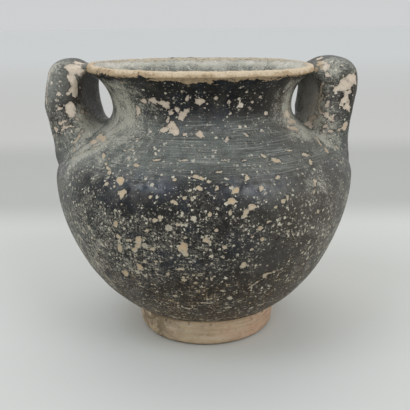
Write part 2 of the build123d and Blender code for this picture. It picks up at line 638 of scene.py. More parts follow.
@dataclass
class ThrownWall:
    """The bowl, shoulder, neck and lip as one thrown wall, parted at the scarf."""

    wear: Wear
    columns: int = 640
    step: float = 0.55
    lip_step: float = 0.385
    inner_step: float = 1.1
    floor_step: float = 1.65
    hidden_step: float = 3.0
    axis_gap: float = 0.5  # the outline starts and ends this far from the axis
    # The bowl is leaner than a true arc about one height, and less so under the floor
    slimming: float = 0.65
    slim_height: float = 42.0
    slim_reach: float = 15.0
    slim_radius: float = 30.0
    # Rows before and after the mouth that are rounded off, and rows counted back from the end
    lip_rows: tuple[int, int] = (9, 6)
    lip_passes: int = 2
    floor_rows: tuple[int, int] = (14, 2)
    floor_passes: int = 8
    # Rings left by fingers and by the wheel, and how strongly they show
    finger_rise: float = 6.3
    comb_rise: float = 1.9
    comb_turns: float = 2.0
    ring_depth: float = 0.014
    ring_strength: float = 0.55
    ring_patches: Ripple = Ripple(34.0, 51, 0.45)
    uneven: Ripple = Ripple(9.0, 52, 0.05)
    lumpy_below_rim: Span = (4.0, 2.0)
    lip_lumps: Ripples = (Ripple(5.5, 54, 0.09), Ripple(2.2, 55, 0.08))
    # How ragged the slip's edge is at the lip, inside it and at the foot, and how far down it is
    torn: Ripples = (Ripple(13.0, 61, 0.5), Ripple(4.2, 62, 0.35), Ripple(1.7, 63, 0.35))
    torn_inside: float = 0.7
    torn_at_foot: float = 0.9
    bare_lip: float = 2.1
    bare_front: float = 0.7
    bare_inside: float = 0.2
    bare_back: float = 1.2
    bare_foot: float = 1.1
    # Degrees from the front towards the right handle, and how much further the lip is bare there
    bare_angles: Numbers = (
        -180.0, -120.0, -60.0, -40.0, -23.0, -9.0, 4.0, 18.0, 33.0, 50.0, 70.0, 120.0, 180.0,
    )
    bare_drops: Numbers = (
        -1.8, -0.8, 0.0, -0.2, -0.5, 0.4, 0.0, 0.7, 0.6, 0.6, 0.2, -0.8, -1.8,
    )
    # Depths below the lip, and how thick the crust inside is there
    crust_depths: Numbers = (0.0, 2.0, 3.6, 5.4, 10.0)
    crust_inside: Numbers = (1.40, 1.40, 0.80, 0.45, 0.20)
    crust_ripples: Ripples = (Ripple(21.0, 56, 0.22), Ripple(8.0, 57, 0.12))
    # Heights of the outside's bands, and the readings there and inside
    low_band: Span = (48.0, 22.0)
    shoulder_from: Span = (75.0, 81.0)
    shoulder_to: Span = (96.0, 89.0)
    clean_lip: Span = (107.2, 105.8)
    low_flake: float = 0.8
    low_brown: float = 0.95
    shoulder_bloom: float = 0.95
    inner_flake: float = 0.6
    inner_bloom: float = 1.3
    inner_brown_depth: Span = (0.0, 10.0)

    def drawn(self) -> Outline:
        """Draw the wall: under the floor, up the outside, over the lip and down the inside.

        Returns:
            The true outline, with the rows of seat, mouth and scarf marked.
        """
        s = SIZES
        root_low = 180.0 + s.shoulder_sweep
        outer_lip = (s.lip_radius, s.rim_height - s.lip_drop)
        outer_flare = s.flare_centre(s.neck_radius, outer_lip)
        mouth = (s.lip_radius - s.lip_thickness, s.rim_height)
        inner_flare = s.flare_centre(s.neck_radius - s.wall, mouth)
        inner_floor = math.asin((s.floor_height - s.belly_height) / (s.bowl_arc_radius - s.wall))
        seat = (s.foot_seat_radius, s.foot_height)
        lip_centre = (s.lip_radius - s.lip_edge, s.rim_height - s.lip_edge)
        line = Outline().start(self.axis_gap, s.foot_recess)
        line.line(s.seat_bore_radius, s.foot_recess, self.hidden_step)
        line.line(*seat, self.inner_step).mark("seat")
        line.arc(s.bowl_centre, bearing(s.bowl_centre, seat), 0.0, self.step)
        line.arc(s.turn_centre, 0.0, s.shoulder_sweep, self.step)
        line.line(*s.down_slope(s.scarf_outer), self.step).mark("scarf_outer")
        line.line(*s.root_start, self.step)
        line.arc(s.root_centre, root_low, 180.0, self.step)
        line.arc(outer_flare, 180.0, bearing(outer_flare, outer_lip), self.step)
        line.line(s.lip_radius, s.rim_height - s.lip_edge, self.step)
        line.arc(lip_centre, 0.0, 90.0, self.lip_step)
        line.line(*mouth, self.step).mark("mouth")
        line.arc(inner_flare, bearing(inner_flare, mouth), 180.0, self.step)
        line.arc(s.root_centre, 180.0, root_low, self.inner_step)
        line.line(*s.down_slope(s.scarf_inner, s.wall), self.inner_step).mark("scarf_inner")
        line.line(*s.on_turn(s.shoulder_turn - s.wall), self.inner_step)
        line.arc(s.turn_centre, s.shoulder_sweep, 0.0, self.inner_step)
        line.arc(s.bowl_centre, 0.0, math.degrees(inner_floor), self.floor_step)
        return line.line(self.axis_gap, s.floor_height, self.hidden_step)

    @cached_property
    def outline(self) -> Outline:
        """The wall's outline, with its bowl slimmed and its lip and floor rounded off."""
        outline = self.drawn()
        radius, height = np.array(outline.points).T
        share = np.exp(-(((height - self.slim_height) / self.slim_reach) ** 2))
        share = share * np.minimum(1.0, radius / self.slim_radius)
        outline.points = list(zip(radius - self.slimming * share, height))
        mouth, end = outline.marks["mouth"], len(outline.points)
        outline.soften(mouth - self.lip_rows[0], mouth + self.lip_rows[1], self.lip_passes)
        outline.soften(end - self.floor_rows[0], end - self.floor_rows[1], self.floor_passes)
        return outline

    def place(self, spot: Spot) -> Cell:
        """Find a place of the outside.

        Args:
            spot: Its angle from the front and its height.

        Returns:
            Row and column.
        """
        seat, mouth = self.outline.marks["seat"], self.outline.marks["mouth"]
        heights = np.array(self.outline.points)[seat:mouth, 1]
        row = seat + int(np.argmin(np.abs(heights - spot[1])))
        return row, round((spot[0] / CIRCLE + 0.5) * self.columns) % self.columns

    def wheel_marks(self, points: Array) -> Array:
        """Shallow rings left by fingers and wheel, rising as a slow spiral.

        Args:
            points: The wall's points.

        Returns:
            How far each point stands out, in millimetres.
        """
        run = run_of(np.array(self.outline.points))[:, None]
        turn = np.linspace(0.0, 1.0, self.columns, endpoint=False)[None, :]
        finger = np.sin(FULL_TURN * (run / self.finger_rise + turn))
        comb = np.sin(FULL_TURN * (run / self.comb_rise + self.comb_turns * turn))
        strength = self.ring_strength + self.ring_patches.at(points)
        return self.ring_depth * strength * (finger + comb)

    def slip_edge(self, points: Array) -> Array:
        """Where the slip ends at lip and foot, as a distance like a chip's.

        Args:
            points: The wall's points.

        Returns:
            Millimetres to the ragged edge of the bare clay, negative on it.
        """
        rough = added(self.torn, points)
        height = points[..., 2]
        front = np.clip(-points[..., 1] / SIZES.lip_radius, 0.0, 1.0)
        back = np.clip(points[..., 1] / SIZES.lip_radius, 0.0, 1.0)
        bared = np.interp(angles(points), self.bare_angles, self.bare_drops)
        lip_edge = SIZES.rim_height - self.bare_lip - self.bare_front * front - bared + rough
        inner_edge = SIZES.rim_height - self.bare_inside - self.bare_back * back
        inner_edge = inner_edge + self.torn_inside * rough
        rows = np.arange(len(points))[:, None]
        before_mouth = rows <= self.outline.marks["mouth"]
        lip = np.where(before_mouth, lip_edge - height, inner_edge - height)
        seat = height - (SIZES.foot_height + self.bare_foot + self.torn_at_foot * rough)
        outside = before_mouth & (rows >= self.outline.marks["seat"])
        return np.minimum(lip, np.where(outside, seat, self.wear.widest))

    def readings(self, true: Array, base: Surface, edges: Array) -> dict[Reading, Array]:
        """What the wall carries for its finish.

        Args:
            true: The wall's true points.
            base: The wall before it was worn.
            edges: Distances to the nearest bare clay.

        Returns:
            The readings at each point.
        """
        height = true[..., 2]
        depth = SIZES.rim_height - height
        low = ramp(height, *self.low_band)
        shoulder = ramp(height, *self.shoulder_from) * ramp(height, *self.shoulder_to)
        below_lip = ramp(height, *self.clean_lip)
        crust = np.interp(depth, self.crust_depths, self.crust_inside)
        crust = crust * (1.0 + added(self.crust_ripples, true))
        # The reading inside, what the outside has besides its patches, and how much of it shows
        bands = {
            Reading.FLAKE: (self.inner_flake, self.low_flake * low, 1.0),
            Reading.BLOOM: (self.inner_bloom, self.shoulder_bloom * shoulder, below_lip),
            Reading.BROWN: (ramp(depth, *self.inner_brown_depth), self.low_brown * low, 1.0),
            Reading.DUST: (crust, 0.0, below_lip),
            Reading.SHEEN: (0.0, 0.0, 1.0),
        }
        inside = (np.arange(len(true)) > self.outline.marks["mouth"])[:, None]
        found = {Reading.CHIP: edges}
        for reading, (within, besides, seen) in bands.items():
            patches = self.wear.amount(reading, base, self.place)
            found[reading] = np.where(inside, within, seen * np.clip(patches + besides, 0.0, 1.0))
        return found

    def build(self, material: Material) -> list[Thing]:
        """Throw the wall and part it into body and neck.

        Args:
            material: The worn slip.

        Returns:
            The two pieces.
        """
        true = self.outline.turned(self.columns)
        base = Surface(POTTER.settle(true))
        edges = np.minimum(self.wear.edges(base, self.place), self.slip_edge(true))
        lumpy = ramp(SIZES.rim_height - true[..., 2], *self.lumpy_below_rim)
        worn = self.wheel_marks(true) + self.uneven.at(true)
        worn = worn + self.wear.dents(edges, true) + lumpy * added(self.lip_lumps, true)
        worn[: self.outline.marks["seat"]] = 0.0
        worn[-self.floor_rows[1] :] = 0.0
        surface = base.push(worn)
        readings = self.readings(true, base, edges)
        outer, inner = (self.outline.marks[name] for name in ("scarf_outer", "scarf_inner"))
        body_rows = [*range(outer + 1), *range(inner, len(true))]
        neck_rows = [*range(outer, inner + 1), outer]
        made = (
            Piece("body_wall", ("body",), Slot.SLIPPED, surface, readings, body_rows, True, True),
            Piece("neck_wall", ("neck",), Slot.SLIPPED, surface, readings, neck_rows),
        )
        return [piece.build(material) for piece in made]


# The foot ring


@dataclass
class FootRing:
    """The turned ring that the jar stands on, left bare of slip."""

    columns: int = 420
    step: float = 0.5
    fullness: float = 0.5
    edge: float = 1.7
    inner_edge: float = 1.0
    clear_of_table: Span = (0.0, 2.0)
    rough: Ripples = (Ripple(11.0, 71, 0.12), Ripple(2.6, 72, 0.05))
    nicks: Ripple = Ripple(7.0, 73)
    nicked_above: float = 0.75
    nick_depth: float = 0.5
    # Faint stains all round, and a dark one at an angle from the front
    stains: Ripple = Ripple(17.0, 74, 0.8)
    stain_level: float = 0.35
    stain_share: float = 0.35
    dark_stain: float = -50.0
    dark_stain_reach: float = 24.0
    slip_rows: float = 6.0  # drips of slip run this many rows from the seat

    def outline(self) -> Outline:
        """Draw the ring's section.

        Returns:
            The outline, once round from under the seat.
        """
        s = SIZES
        side = bearing((s.foot_radius, 0.0), (s.foot_seat_radius, s.foot_height))
        line = Outline().start(s.foot_bore_radius, self.inner_edge)
        line.arc((s.foot_bore_radius + self.inner_edge, self.inner_edge), 180.0, 270.0, self.step)
        line.line(s.foot_radius - self.edge, 0.0, self.step)
        line.arc((s.foot_radius - self.edge, self.edge), -90.0, side - 90.0, self.step)
        line.line(s.foot_seat_radius, s.foot_height, self.step).mark("seat")
        line.line(s.seat_bore_radius, s.foot_recess, self.step)
        return line.line(s.foot_bore_radius, self.inner_edge + self.step, self.step)

    def build(self, material: Material) -> list[Thing]:
        """Turn the ring.

        Args:
            material: The bare clay.

        Returns:
            The ring, as a list of one.
        """
        outline = self.outline()
        true = outline.turned(self.columns)
        base = Surface(POTTER.settle(true))
        nicked = self.nick_depth * np.clip(self.nicks.at(true) - self.nicked_above, 0.0, None)
        uneven = self.fullness + added(self.rough, true) - nicked
        surface = base.push(ramp(true[..., 2], *self.clear_of_table) * uneven)
        stain = np.clip(self.stain_level + self.stains.at(true), 0.0, 1.0)
        dark = np.exp(-(((angles(true) - self.dark_stain) / self.dark_stain_reach) ** 2))
        rows = np.arange(len(outline.points))
        dripped = ramp(np.abs(rows - outline.marks["seat"]), self.slip_rows, 0.0)
        readings = {
            Reading.BROWN: np.clip(self.stain_share * stain + dark, 0.0, 1.0),
            Reading.BLOOM: dripped[:, None] * np.ones(self.columns),
        }
        ring = Piece(
            "foot_ring_clay", ("foot_ring",), Slot.BARE, surface, readings, [*rows.tolist(), 0]
        )
        return [ring.build(material)]


# The strap handles


@dataclass
class StrapHandle:
    """One thick strap from lip to shoulder, with the clay that holds it at either end."""

    side: Side
    inside: tuple[Spot, ...]  # radius and height from lip to foot
    outside: tuple[Spot, ...]
    wear: Wear
    turned_in: float  # slant of the inner face's back half
    root_fullness: float
    # How far crust may go; past 1 it paints light into shade
    thickest_crust_and_painted_light: float = 1.0
    thickest_bloom: float = 1.4
    columns: int = 150
    strap_rows: int = 84
    lip_rows: int = 6
    luting_rows: int = 26
    steps_to_corner: int = 24
    set_back: float = 6.0
    foot_width: float = 32.5
    tip_width: float = 19.0
    widening: Span = (0.04, 0.38)
    hugging: Span = (0.22, 0.0)
    hug_curl: float = 1.5
    outer_roundness: float = 2.7
    inner_roundness: float = 4.6
    landing_inner: float = 38.2
    landing_outer: float = 60.5
    landing_half_width: float = 21.0
    # How far the flare keeps on from the strap, and how far it lies along the shoulder
    leaving: float = 0.42
    arriving: float = 0.38
    bury: float = 1.1
    stride: float = 0.2
    uneven: Ripples = (Ripple(17.0, 81, 0.16), Ripple(5.0, 82, 0.05))
    even_rows: Span = (1.0, 11.0)  # rows from the end over which the unevenness sets in

    def trace(self, corners: Sequence[Spot]) -> Array:
        """A smooth curve through some points.

        Args:
            corners: The points.

        Returns:
            The curve's points, one to each of the strap's rows.
        """
        knots = np.array(corners)
        ends = np.vstack([2 * knots[0] - knots[1], knots, 2 * knots[-1] - knots[-2]])
        t = np.linspace(0.0, 1.0, self.steps_to_corner, endpoint=False)[:, None]
        fine = []
        for before, start, end, after in zip(ends[:-3], ends[1:-2], ends[2:-1], ends[3:]):
            straight = 2 * start + (end - before) * t
            bent = (2 * before - 5 * start + 4 * end - after) * t**2
            twisted = (3 * start - before - 3 * end + after) * t**3
            fine.append(0.5 * (straight + bent + twisted))
        curve = np.vstack([*fine, knots[-1:]])
        run = run_of(curve)
        shares = np.linspace(0.0, 1.0, self.strap_rows)
        return np.stack([np.interp(shares, run / run[-1], axis) for axis in curve.T], axis=-1)

    def section(self) -> tuple[Array, Array]:
        """The strap's rounded section.

        Returns:
            Shares of half width, back positive, and of half thickness, out positive.
        """
        turn = np.linspace(0.0, FULL_TURN, self.columns, endpoint=False)
        round_by = np.where(np.sin(turn) >= 0.0, self.outer_roundness, self.inner_roundness)
        across = np.sign(np.cos(turn)) * np.abs(np.cos(turn)) ** (2.0 / round_by)
        through = np.sign(np.sin(turn)) * np.abs(np.sin(turn)) ** (2.0 / round_by)
        return across, through

    @staticmethod
    def ground(out: Array, back: Array) -> Array:
        """Points of the jar's true outside, above the belly.

        Args:
            out: How far out in the strap's plane.
            back: How far back.

        Returns:
            The points: out, back and up.
        """
        s = SIZES
        radius = np.hypot(out, back)
        cone = s.turn_end[1] + (s.turn_end[0] - radius) * math.tan(math.radians(s.shoulder_slope))
        root = np.clip(s.neck_root_turn**2 - (s.root_centre[0] - radius) ** 2, 0.0, None)
        turn = np.clip(s.shoulder_turn**2 - (radius - s.turn_centre[0]) ** 2, 0.0, None)
        up = np.where(radius > s.turn_end[0], s.belly_height + np.sqrt(turn), cone)
        up = np.where(radius < s.root_start[0], s.root_centre[1] - np.sqrt(root), up)
        return np.stack([out, back, up], axis=-1)

    def strap(self) -> Array:
        """Pull the strap from lip to foot.

        Returns:
            Its rings in its own plane: out, back and up.
        """
        across, through = self.section()
        shares = np.linspace(0.0, 1.0, self.strap_rows)
        inner, outer = self.trace(self.inside), self.trace(self.outside)
        middle, half = (inner + outer) / 2.0, (outer - inner) / 2.0
        swell = ramp(shares, *self.widening)
        swell = swell * swell * (3.0 - 2.0 * swell)
        width = self.tip_width + (self.foot_width - self.tip_width) * swell
        back = 0.5 * width[:, None] * across[None, :]
        out = middle[:, :1] + half[:, :1] * through[None, :]
        up = middle[:, 1:] + half[:, 1:] * through[None, :]
        hug = ramp(shares, *self.hugging)[:, None] ** self.hug_curl
        out = out + hug * (np.sqrt(SIZES.lip_radius**2 - back**2) - SIZES.lip_radius)
        inward = (1.0 - through[None, :]) / 2.0
        out = out - self.turned_in * swell[:, None] * inward * np.clip(back, 0.0, None)
        return np.stack([out, back, up], axis=-1)

    def landing(self, strap: Array) -> Array:
        """The flared clay from the strap's last ring down onto the shoulder.

        Args:
            strap: The strap's rings.

        Returns:
            The flare's rings, the last of them under the shoulder's skin.
        """
        turn = np.linspace(0.0, FULL_TURN, self.columns, endpoint=False)
        centre = (self.landing_inner + self.landing_outer) / 2.0
        half = (self.landing_outer - self.landing_inner) / 2.0
        outward, backward = np.sin(turn), np.cos(turn)
        out, back = centre + half * outward, self.landing_half_width * backward
        end = self.ground(out, back)
        arrive = unit(end - self.ground(out - self.stride * outward, back - self.stride * backward))
        level = np.hypot(arrive[:, 0], arrive[:, 1])
        tilt = -arrive[:, 2] / level
        skin = np.stack([tilt * arrive[:, 0], tilt * arrive[:, 1], level], axis=-1)
        first = strap[-1]
        gap = np.linalg.norm(end - first, axis=-1, keepdims=True)
        second = first + self.leaving * gap * unit(first - strap[-2])
        third = end - self.arriving * gap * arrive
        share = np.linspace(0.0, 1.0, self.luting_rows + 1)[1:, None, None]
        flare = (1 - share) ** 3 * first + 3 * share * (1 - share) ** 2 * second
        flare = flare + 3 * share**2 * (1 - share) * third + share**3 * end
        bulge = np.sin(math.pi * share[..., 0] ** 2) * np.clip(outward, 0.0, 1.0)
        flare[..., 0] += self.root_fullness * bulge
        skirt = end + self.bury * (arrive - skin)
        return np.concatenate([flare, skirt[None]], axis=0)

    def placed(self, points: Array) -> Array:
        """Put points of the strap's plane where this handle stands on the jar.

        Args:
            points: How far out, back and up.

        Returns:
            Places in millimetres.
        """
        out, back, up = np.moveaxis(points, -1, 0)
        turn = math.radians(self.set_back)
        x = out * math.cos(turn) - back * math.sin(turn)
        y = out * math.sin(turn) + back * math.cos(turn)
        return np.stack([self.side.value * x, y, up], axis=-1)

    def place(self, rows: int, spot: Spot) -> Cell:
        """Find a place of the strap.

        Args:
            rows: How many rows the strap and its flare have.
            spot: The share of the way down, and the angle round the strap.

        Returns:
            Row and column.
        """
        column = round(spot[1] / CIRCLE * self.columns)
        if self.side is Side.LEFT:
            column = -1 - column
        return round(spot[0] * (rows - 1)), column % self.columns

    def build(self, material: Material) -> list[Thing]:
        """Pull the strap, press its ends on, and dress it.

        Args:
            material: The worn slip.

        Returns:
            The strap and its two lutings.
        """
        strap = self.strap()
        rings = np.concatenate([strap, self.landing(strap)], axis=0)
        if self.side is Side.LEFT:
            rings = rings[:, ::-1]
        true = self.placed(rings)
        base = Surface(POTTER.settle(true))
        count = len(rings)
        cell_of = partial(self.place, count)
        edges = self.wear.edges(base, cell_of)
        loose = ramp(np.arange(count)[::-1], *self.even_rows)[:, None]
        surface = base.push(loose * (added(self.uneven, true) + self.wear.dents(edges, true)))
        most = {Reading.BLOOM: self.thickest_bloom, Reading.DUST: self.thickest_crust_and_painted_light}
        readings = {Reading.CHIP: edges}
        for reading in self.wear.patches:
            amount = self.wear.amount(reading, base, cell_of)
            readings[reading] = np.clip(amount, 0.0, most.get(reading, 1.0))
        lip, foot = self.lip_rows, len(strap) - 1
        # Each piece's name, its node's name, its rows, and whether its first and last are capped
        made = (
            ("luted_lip_joint", "upper_luting", range(lip + 1), True, False),
            ("strap", "handle", range(lip, foot + 1), False, False),
            ("luted_foot", "lower_luting", range(foot, count), False, True),
        )
        pieces = []
        for name, node, rows, first, last in made:
            name, nodes = self.side.piece(name), (self.side.piece(node),)
            piece = Piece(name, nodes, Slot.SLIPPED, surface, readings, rows, first, last)
            pieces.append(piece.build(material))
        return pieces


# Shader sockets and nodes


Operand = Union["Signal", float, Sequence[float]]


def is_spatial(value: Operand) -> bool:
    """True for a vector or colour, and False for a number."""
    if isinstance(value, Signal):
        return value.socket.type in {"VECTOR", "RGBA"}
    return not isinstance(value, (int, float))


class Signal:
    """A shader socket that adds, multiplies and blends as numbers, vectors and colours do."""

    def __init__(self, bench: Bench, socket: bpy.types.NodeSocket) -> None:
        """Hold a socket of a bench's nodes."""
        self.bench = bench
        self.socket = socket

    def _join(self, operation: str, first: Operand, second: Operand) -> Signal:
        """One step of maths between two operands.

        Args:
            operation: The step.
            first: The first operand.
            second: The second operand.

        Returns:
            The result.
        """
        spatial = is_spatial(first) or is_spatial(second)
        kind = "ShaderNodeVectorMath" if spatial else "ShaderNodeMath"
        node = self.bench.add(kind, {0: first, 1: second}, operation=operation)
        return self.bench.signal(node, "Vector" if spatial else "Value")

    def __add__(self, other: Operand) -> Signal:
        """This plus another."""
        return self._join("ADD", self, other)

    __radd__ = __add__

    def __sub__(self, other: Operand) -> Signal:
        """This less another."""
        return self._join("SUBTRACT", self, other)

    def __rsub__(self, other: Operand) -> Signal:
        """Another less this."""
        return self._join("SUBTRACT", other, self)

    def __mul__(self, other: Operand) -> Signal:
        """This times another."""
        return self._join("MULTIPLY", self, other)

    __rmul__ = __mul__

    def __truediv__(self, other: Operand) -> Signal:
        """This divided by another."""
        return self._join("DIVIDE", self, other)

    def __rtruediv__(self, other: Operand) -> Signal:
        """Another divided by this."""
        return self._join("DIVIDE", other, self)

    def most(self, other: Operand) -> Signal:
        """The larger of this and another."""
        return self._join("MAXIMUM", self, other)

    def lift(self, least: float) -> Signal:
        """This squeezed from between 0 and 1 to between a least value and 1."""
        return self * (1.0 - least) + least

    def rise(self, start: Operand, end: Operand) -> Signal:
        """A smooth step.

        Args:
            start: Where this has to be for 0.
            end: Where this has to be for 1; it may be below the start.

        Returns:
            0 to 1.
        """
        sockets = {"Value": self, "From Min": start, "From Max": end}
        node = self.bench.add("ShaderNodeMapRange", sockets, interpolation_type="SMOOTHSTEP")
        return self.bench.signal(node, "Result")

    def blend(self, low: Operand, high: Operand) -> Signal:
        """A mix of two numbers or colours.

        Args:
            low: What it is where this is 0.
            high: What it is where this is 1.

        Returns:
            The mix.
        """
        spatial = is_spatial(low) or is_spatial(high)
        kind, end = ("RGBA", "Color") if spatial else ("FLOAT", "Float")
        sockets = {"Factor_Float": self, f"A_{end}": low, f"B_{end}": high}
        node = self.bench.add("ShaderNodeMix", sockets, data_type=kind)
        return self.bench.signal(node, f"Result_{end}")

    def part(self, axis: str) -> Signal:
        """One of a vector's X, Y and Z."""
        return self.bench.signal(self.bench.add("ShaderNodeSeparateXYZ", {0: self}), axis)


@dataclass(frozen=True)
class Grain:
    """Soft noise, by the size of its blotches in millimetres, its detail and its roughness."""

    size: float
    detail: float = 2.0
    rough: float = 0.5
    span: Span | None = None  # if given, noise is 0 before the first and 1 past the second
    scale: float = 1.0  # times this
    least: float = 0.0  # and no less than this


@dataclass(frozen=True)
class Jitter:
    """How far places are moved about, by noise of what size, both in millimetres."""

    size: float
    amount: float
    detail: float = 2.0


@dataclass(frozen=True)
class Flakes:
    """Flakes scattered one to a cell, of mixed sizes and tones."""

    cell: float
    largest: float
    share: float  # share of the cells that have a flake where flakes crowd
    stray: float  # share of the cells that have one anywhere
    soft: float  # half the width of a flake's soft edge
    contrast: float
    faintest: float
    mostly_faint: bool = False


class Bench:
    """Where the nodes of one material, or of the room's light, are put together."""

    drift_slant: float = 0.6
    bump_strength: float = 0.8
    bump_distance: float = 1.0
    coat_roughness: float = 0.30

    def __init__(self, made: Material | bpy.types.World) -> None:
        """Clear a new material or world to work on.

        Args:
            made: The material or world.
        """
        made.use_nodes = True
        self.made = made
        self.tree = made.node_tree
        self.tree.nodes.clear()

    def add(
        self, kind: str, sockets: Mapping[Any, Operand] | None = None, **settings: Any
    ) -> bpy.types.Node:
        """Add a node.

        Args:
            kind: Its type.
            sockets: Values or signals by socket number, name or identifier.
            settings: Its own settings, made before its sockets are filled.

        Returns:
            The node.
        """
        node = self.tree.nodes.new(kind)
        for name, value in settings.items():
            setattr(node, name, value)
        for key, value in (sockets or {}).items():
            socket = self.find(node.inputs, key)
            if isinstance(value, Signal):
                self.tree.links.new(value.socket, socket)
            elif socket.type == "RGBA":
                socket.default_value = (*value, 1.0)
            elif socket.type == "VECTOR" and not is_spatial(value):
                socket.default_value = (value,) * 3
            else:
                socket.default_value = value
        return node

    @staticmethod
    def find(sockets: bpy.types.bpy_prop_collection, key: Any) -> bpy.types.NodeSocket:
        """A socket by number, identifier or name."""
        if isinstance(key, int):
            return sockets[key]
        return next(s for s in sockets if key in (s.identifier, s.name))

    def signal(self, node: bpy.types.Node, output: str) -> Signal:
        """One of a node's outputs, ready for maths."""
        return Signal(self, self.find(node.outputs, output))

    @cached_property
    def where(self) -> Signal:
        """Where each point is on the jar, in millimetres."""
        return self.signal(self.add("ShaderNodeTexCoord"), "Object") * (1.0 / MM)

    @cached_property
    def height(self) -> Signal:
        """How high each point is, in millimetres."""
        return self.where.part("Z")

    def reading(self, name: Reading) -> Signal:
        """One of the surface's readings."""
        node = self.add("ShaderNodeAttribute", attribute_name=name.value)
        return self.signal(node, "Fac")

    def noise(self, grain: Grain, where: Signal | None = None) -> Signal:
        """Soft noise as it comes.

        Args:
            grain: Its size, detail and roughness.
            where: Where it is read, if not at each point's own place.

        Returns:
            Noise about one half.
        """
        sockets = {
            "Vector": where or self.where,
            "Scale": 1.0 / grain.size,
            "Detail": grain.detail,
            "Roughness": grain.rough,
        }
        return self.signal(self.add("ShaderNodeTexNoise", sockets), "Fac")

    def cloud(self, grain: Grain, where: Signal | None = None) -> Signal:
        """Soft noise, stepped over its span and scaled.

        Args:
            grain: The noise, its span, its scale and its least.
            where: Where it is read, if not at each point's own place.

        Returns:
            The noise from its least upwards.
        """
        cloud = self.noise(grain, where)
        cloud = cloud.rise(*grain.span) if grain.span else cloud
        cloud = cloud * grain.scale if grain.scale != 1.0 else cloud
        return cloud + grain.least if grain.least else cloud

    def swing(self, *grains: Grain) -> Signal:
        """Noises about zero, scaled and added up.

        Args:
            grains: Each noise and its scale.

        Returns:
            The sum.
        """
        first, *others = [(self.noise(grain) - 0.5) * grain.scale for grain in grains]
        return sum(others, first)

    def wheel(self, drift: float) -> Signal:
        """Places that hardly change round the jar, so that noise read there runs in rings.

        Args:
            drift: How much they change across the jar.

        Returns:
            Distance from the axis, drift and height.
        """
        flat = self.where * (1.0, 1.0, 0.0)
        node = self.add("ShaderNodeVectorMath", {0: flat}, operation="LENGTH")
        slow = (self.where.part("X") + self.where.part("Y") * self.drift_slant) * drift
        sockets = {"X": self.signal(node, "Value"), "Y": slow, "Z": self.height}
        return self.signal(self.add("ShaderNodeCombineXYZ", sockets), "Vector")

    def jitter(self, by: Jitter) -> Signal:
        """Places moved about by noise, which makes round marks ragged.

        Args:
            by: How far, and by noise of what size.

        Returns:
            The moved places.
        """
        sockets = {"Vector": self.where, "Scale": 1.0 / by.size, "Detail": by.detail}
        colour = self.signal(self.add("ShaderNodeTexNoise", sockets), "Color")
        return self.where + (colour - (0.5, 0.5, 0.5)) * (2.0 * by.amount)

    def flakes(self, kind: Flakes, where: Signal, crowd: Signal) -> Signal:
        """Scatter flakes of one kind.

        Args:
            kind: The flakes' spacing, sizes, number and tones.
            where: Places, in millimetres.
            crowd: How thickly they lie.

        Returns:
            The flakes' tone, and 0 between them.
        """
        node = self.add("ShaderNodeTexVoronoi", {"Vector": where, "Scale": 1.0 / kind.cell})
        dice = self.signal(node, "Color")
        share = crowd * kind.share + kind.stray
        size = (1.0 - dice.part("X") / share).most(0.0) * kind.largest
        edge = self.signal(node, "Distance") * kind.cell - size
        tone = dice.part("Y")
        tone = tone * tone if kind.mostly_faint else tone
        return edge.rise(kind.soft, -kind.soft) * (tone * kind.contrast + kind.faintest)

    def finish(
        self,
        colour: Signal,
        roughness: Operand,
        shine: float,
        relief: Signal | None = None,
        polish: Operand = 0.0,
    ) -> Material:
        """End the material in a surface.

        Args:
            colour: Its colour.
            roughness: Its roughness.
            shine: Its specular level.
            relief: Its fine relief in millimetres, if it has any.
            polish: How much of a polished coat it has.

        Returns:
            The material.
        """
        sockets: dict[Any, Operand] = {
            "Base Color": colour,
            "Roughness": roughness,
            "Specular IOR Level": shine,
        }
        if relief is not None:
            heights = {
                "Strength": self.bump_strength,
                "Distance": self.bump_distance,
                "Height": relief * MM,
            }
            sockets["Normal"] = self.signal(self.add("ShaderNodeBump", heights), "Normal")
            sockets["Coat Weight"] = polish
            sockets["Coat Roughness"] = self.coat_roughness
        shader = self.add("ShaderNodeBsdfPrincipled", sockets)
        self.add("ShaderNodeOutputMaterial", {"Surface": self.signal(shader, "BSDF")})
        return self.made


def painted(colour: Operand, *coats: tuple[Signal, Operand]) -> Signal:
    """A colour with others laid over it in turn.

    Args:
        colour: The first colour.
        coats: Where each of the others lies, 0 to 1, and its colour.

    Returns:
        The colour that shows.
    """
    for mask, paint in coats:
        colour = mask.blend(colour, paint)
    return colour


# Finishes


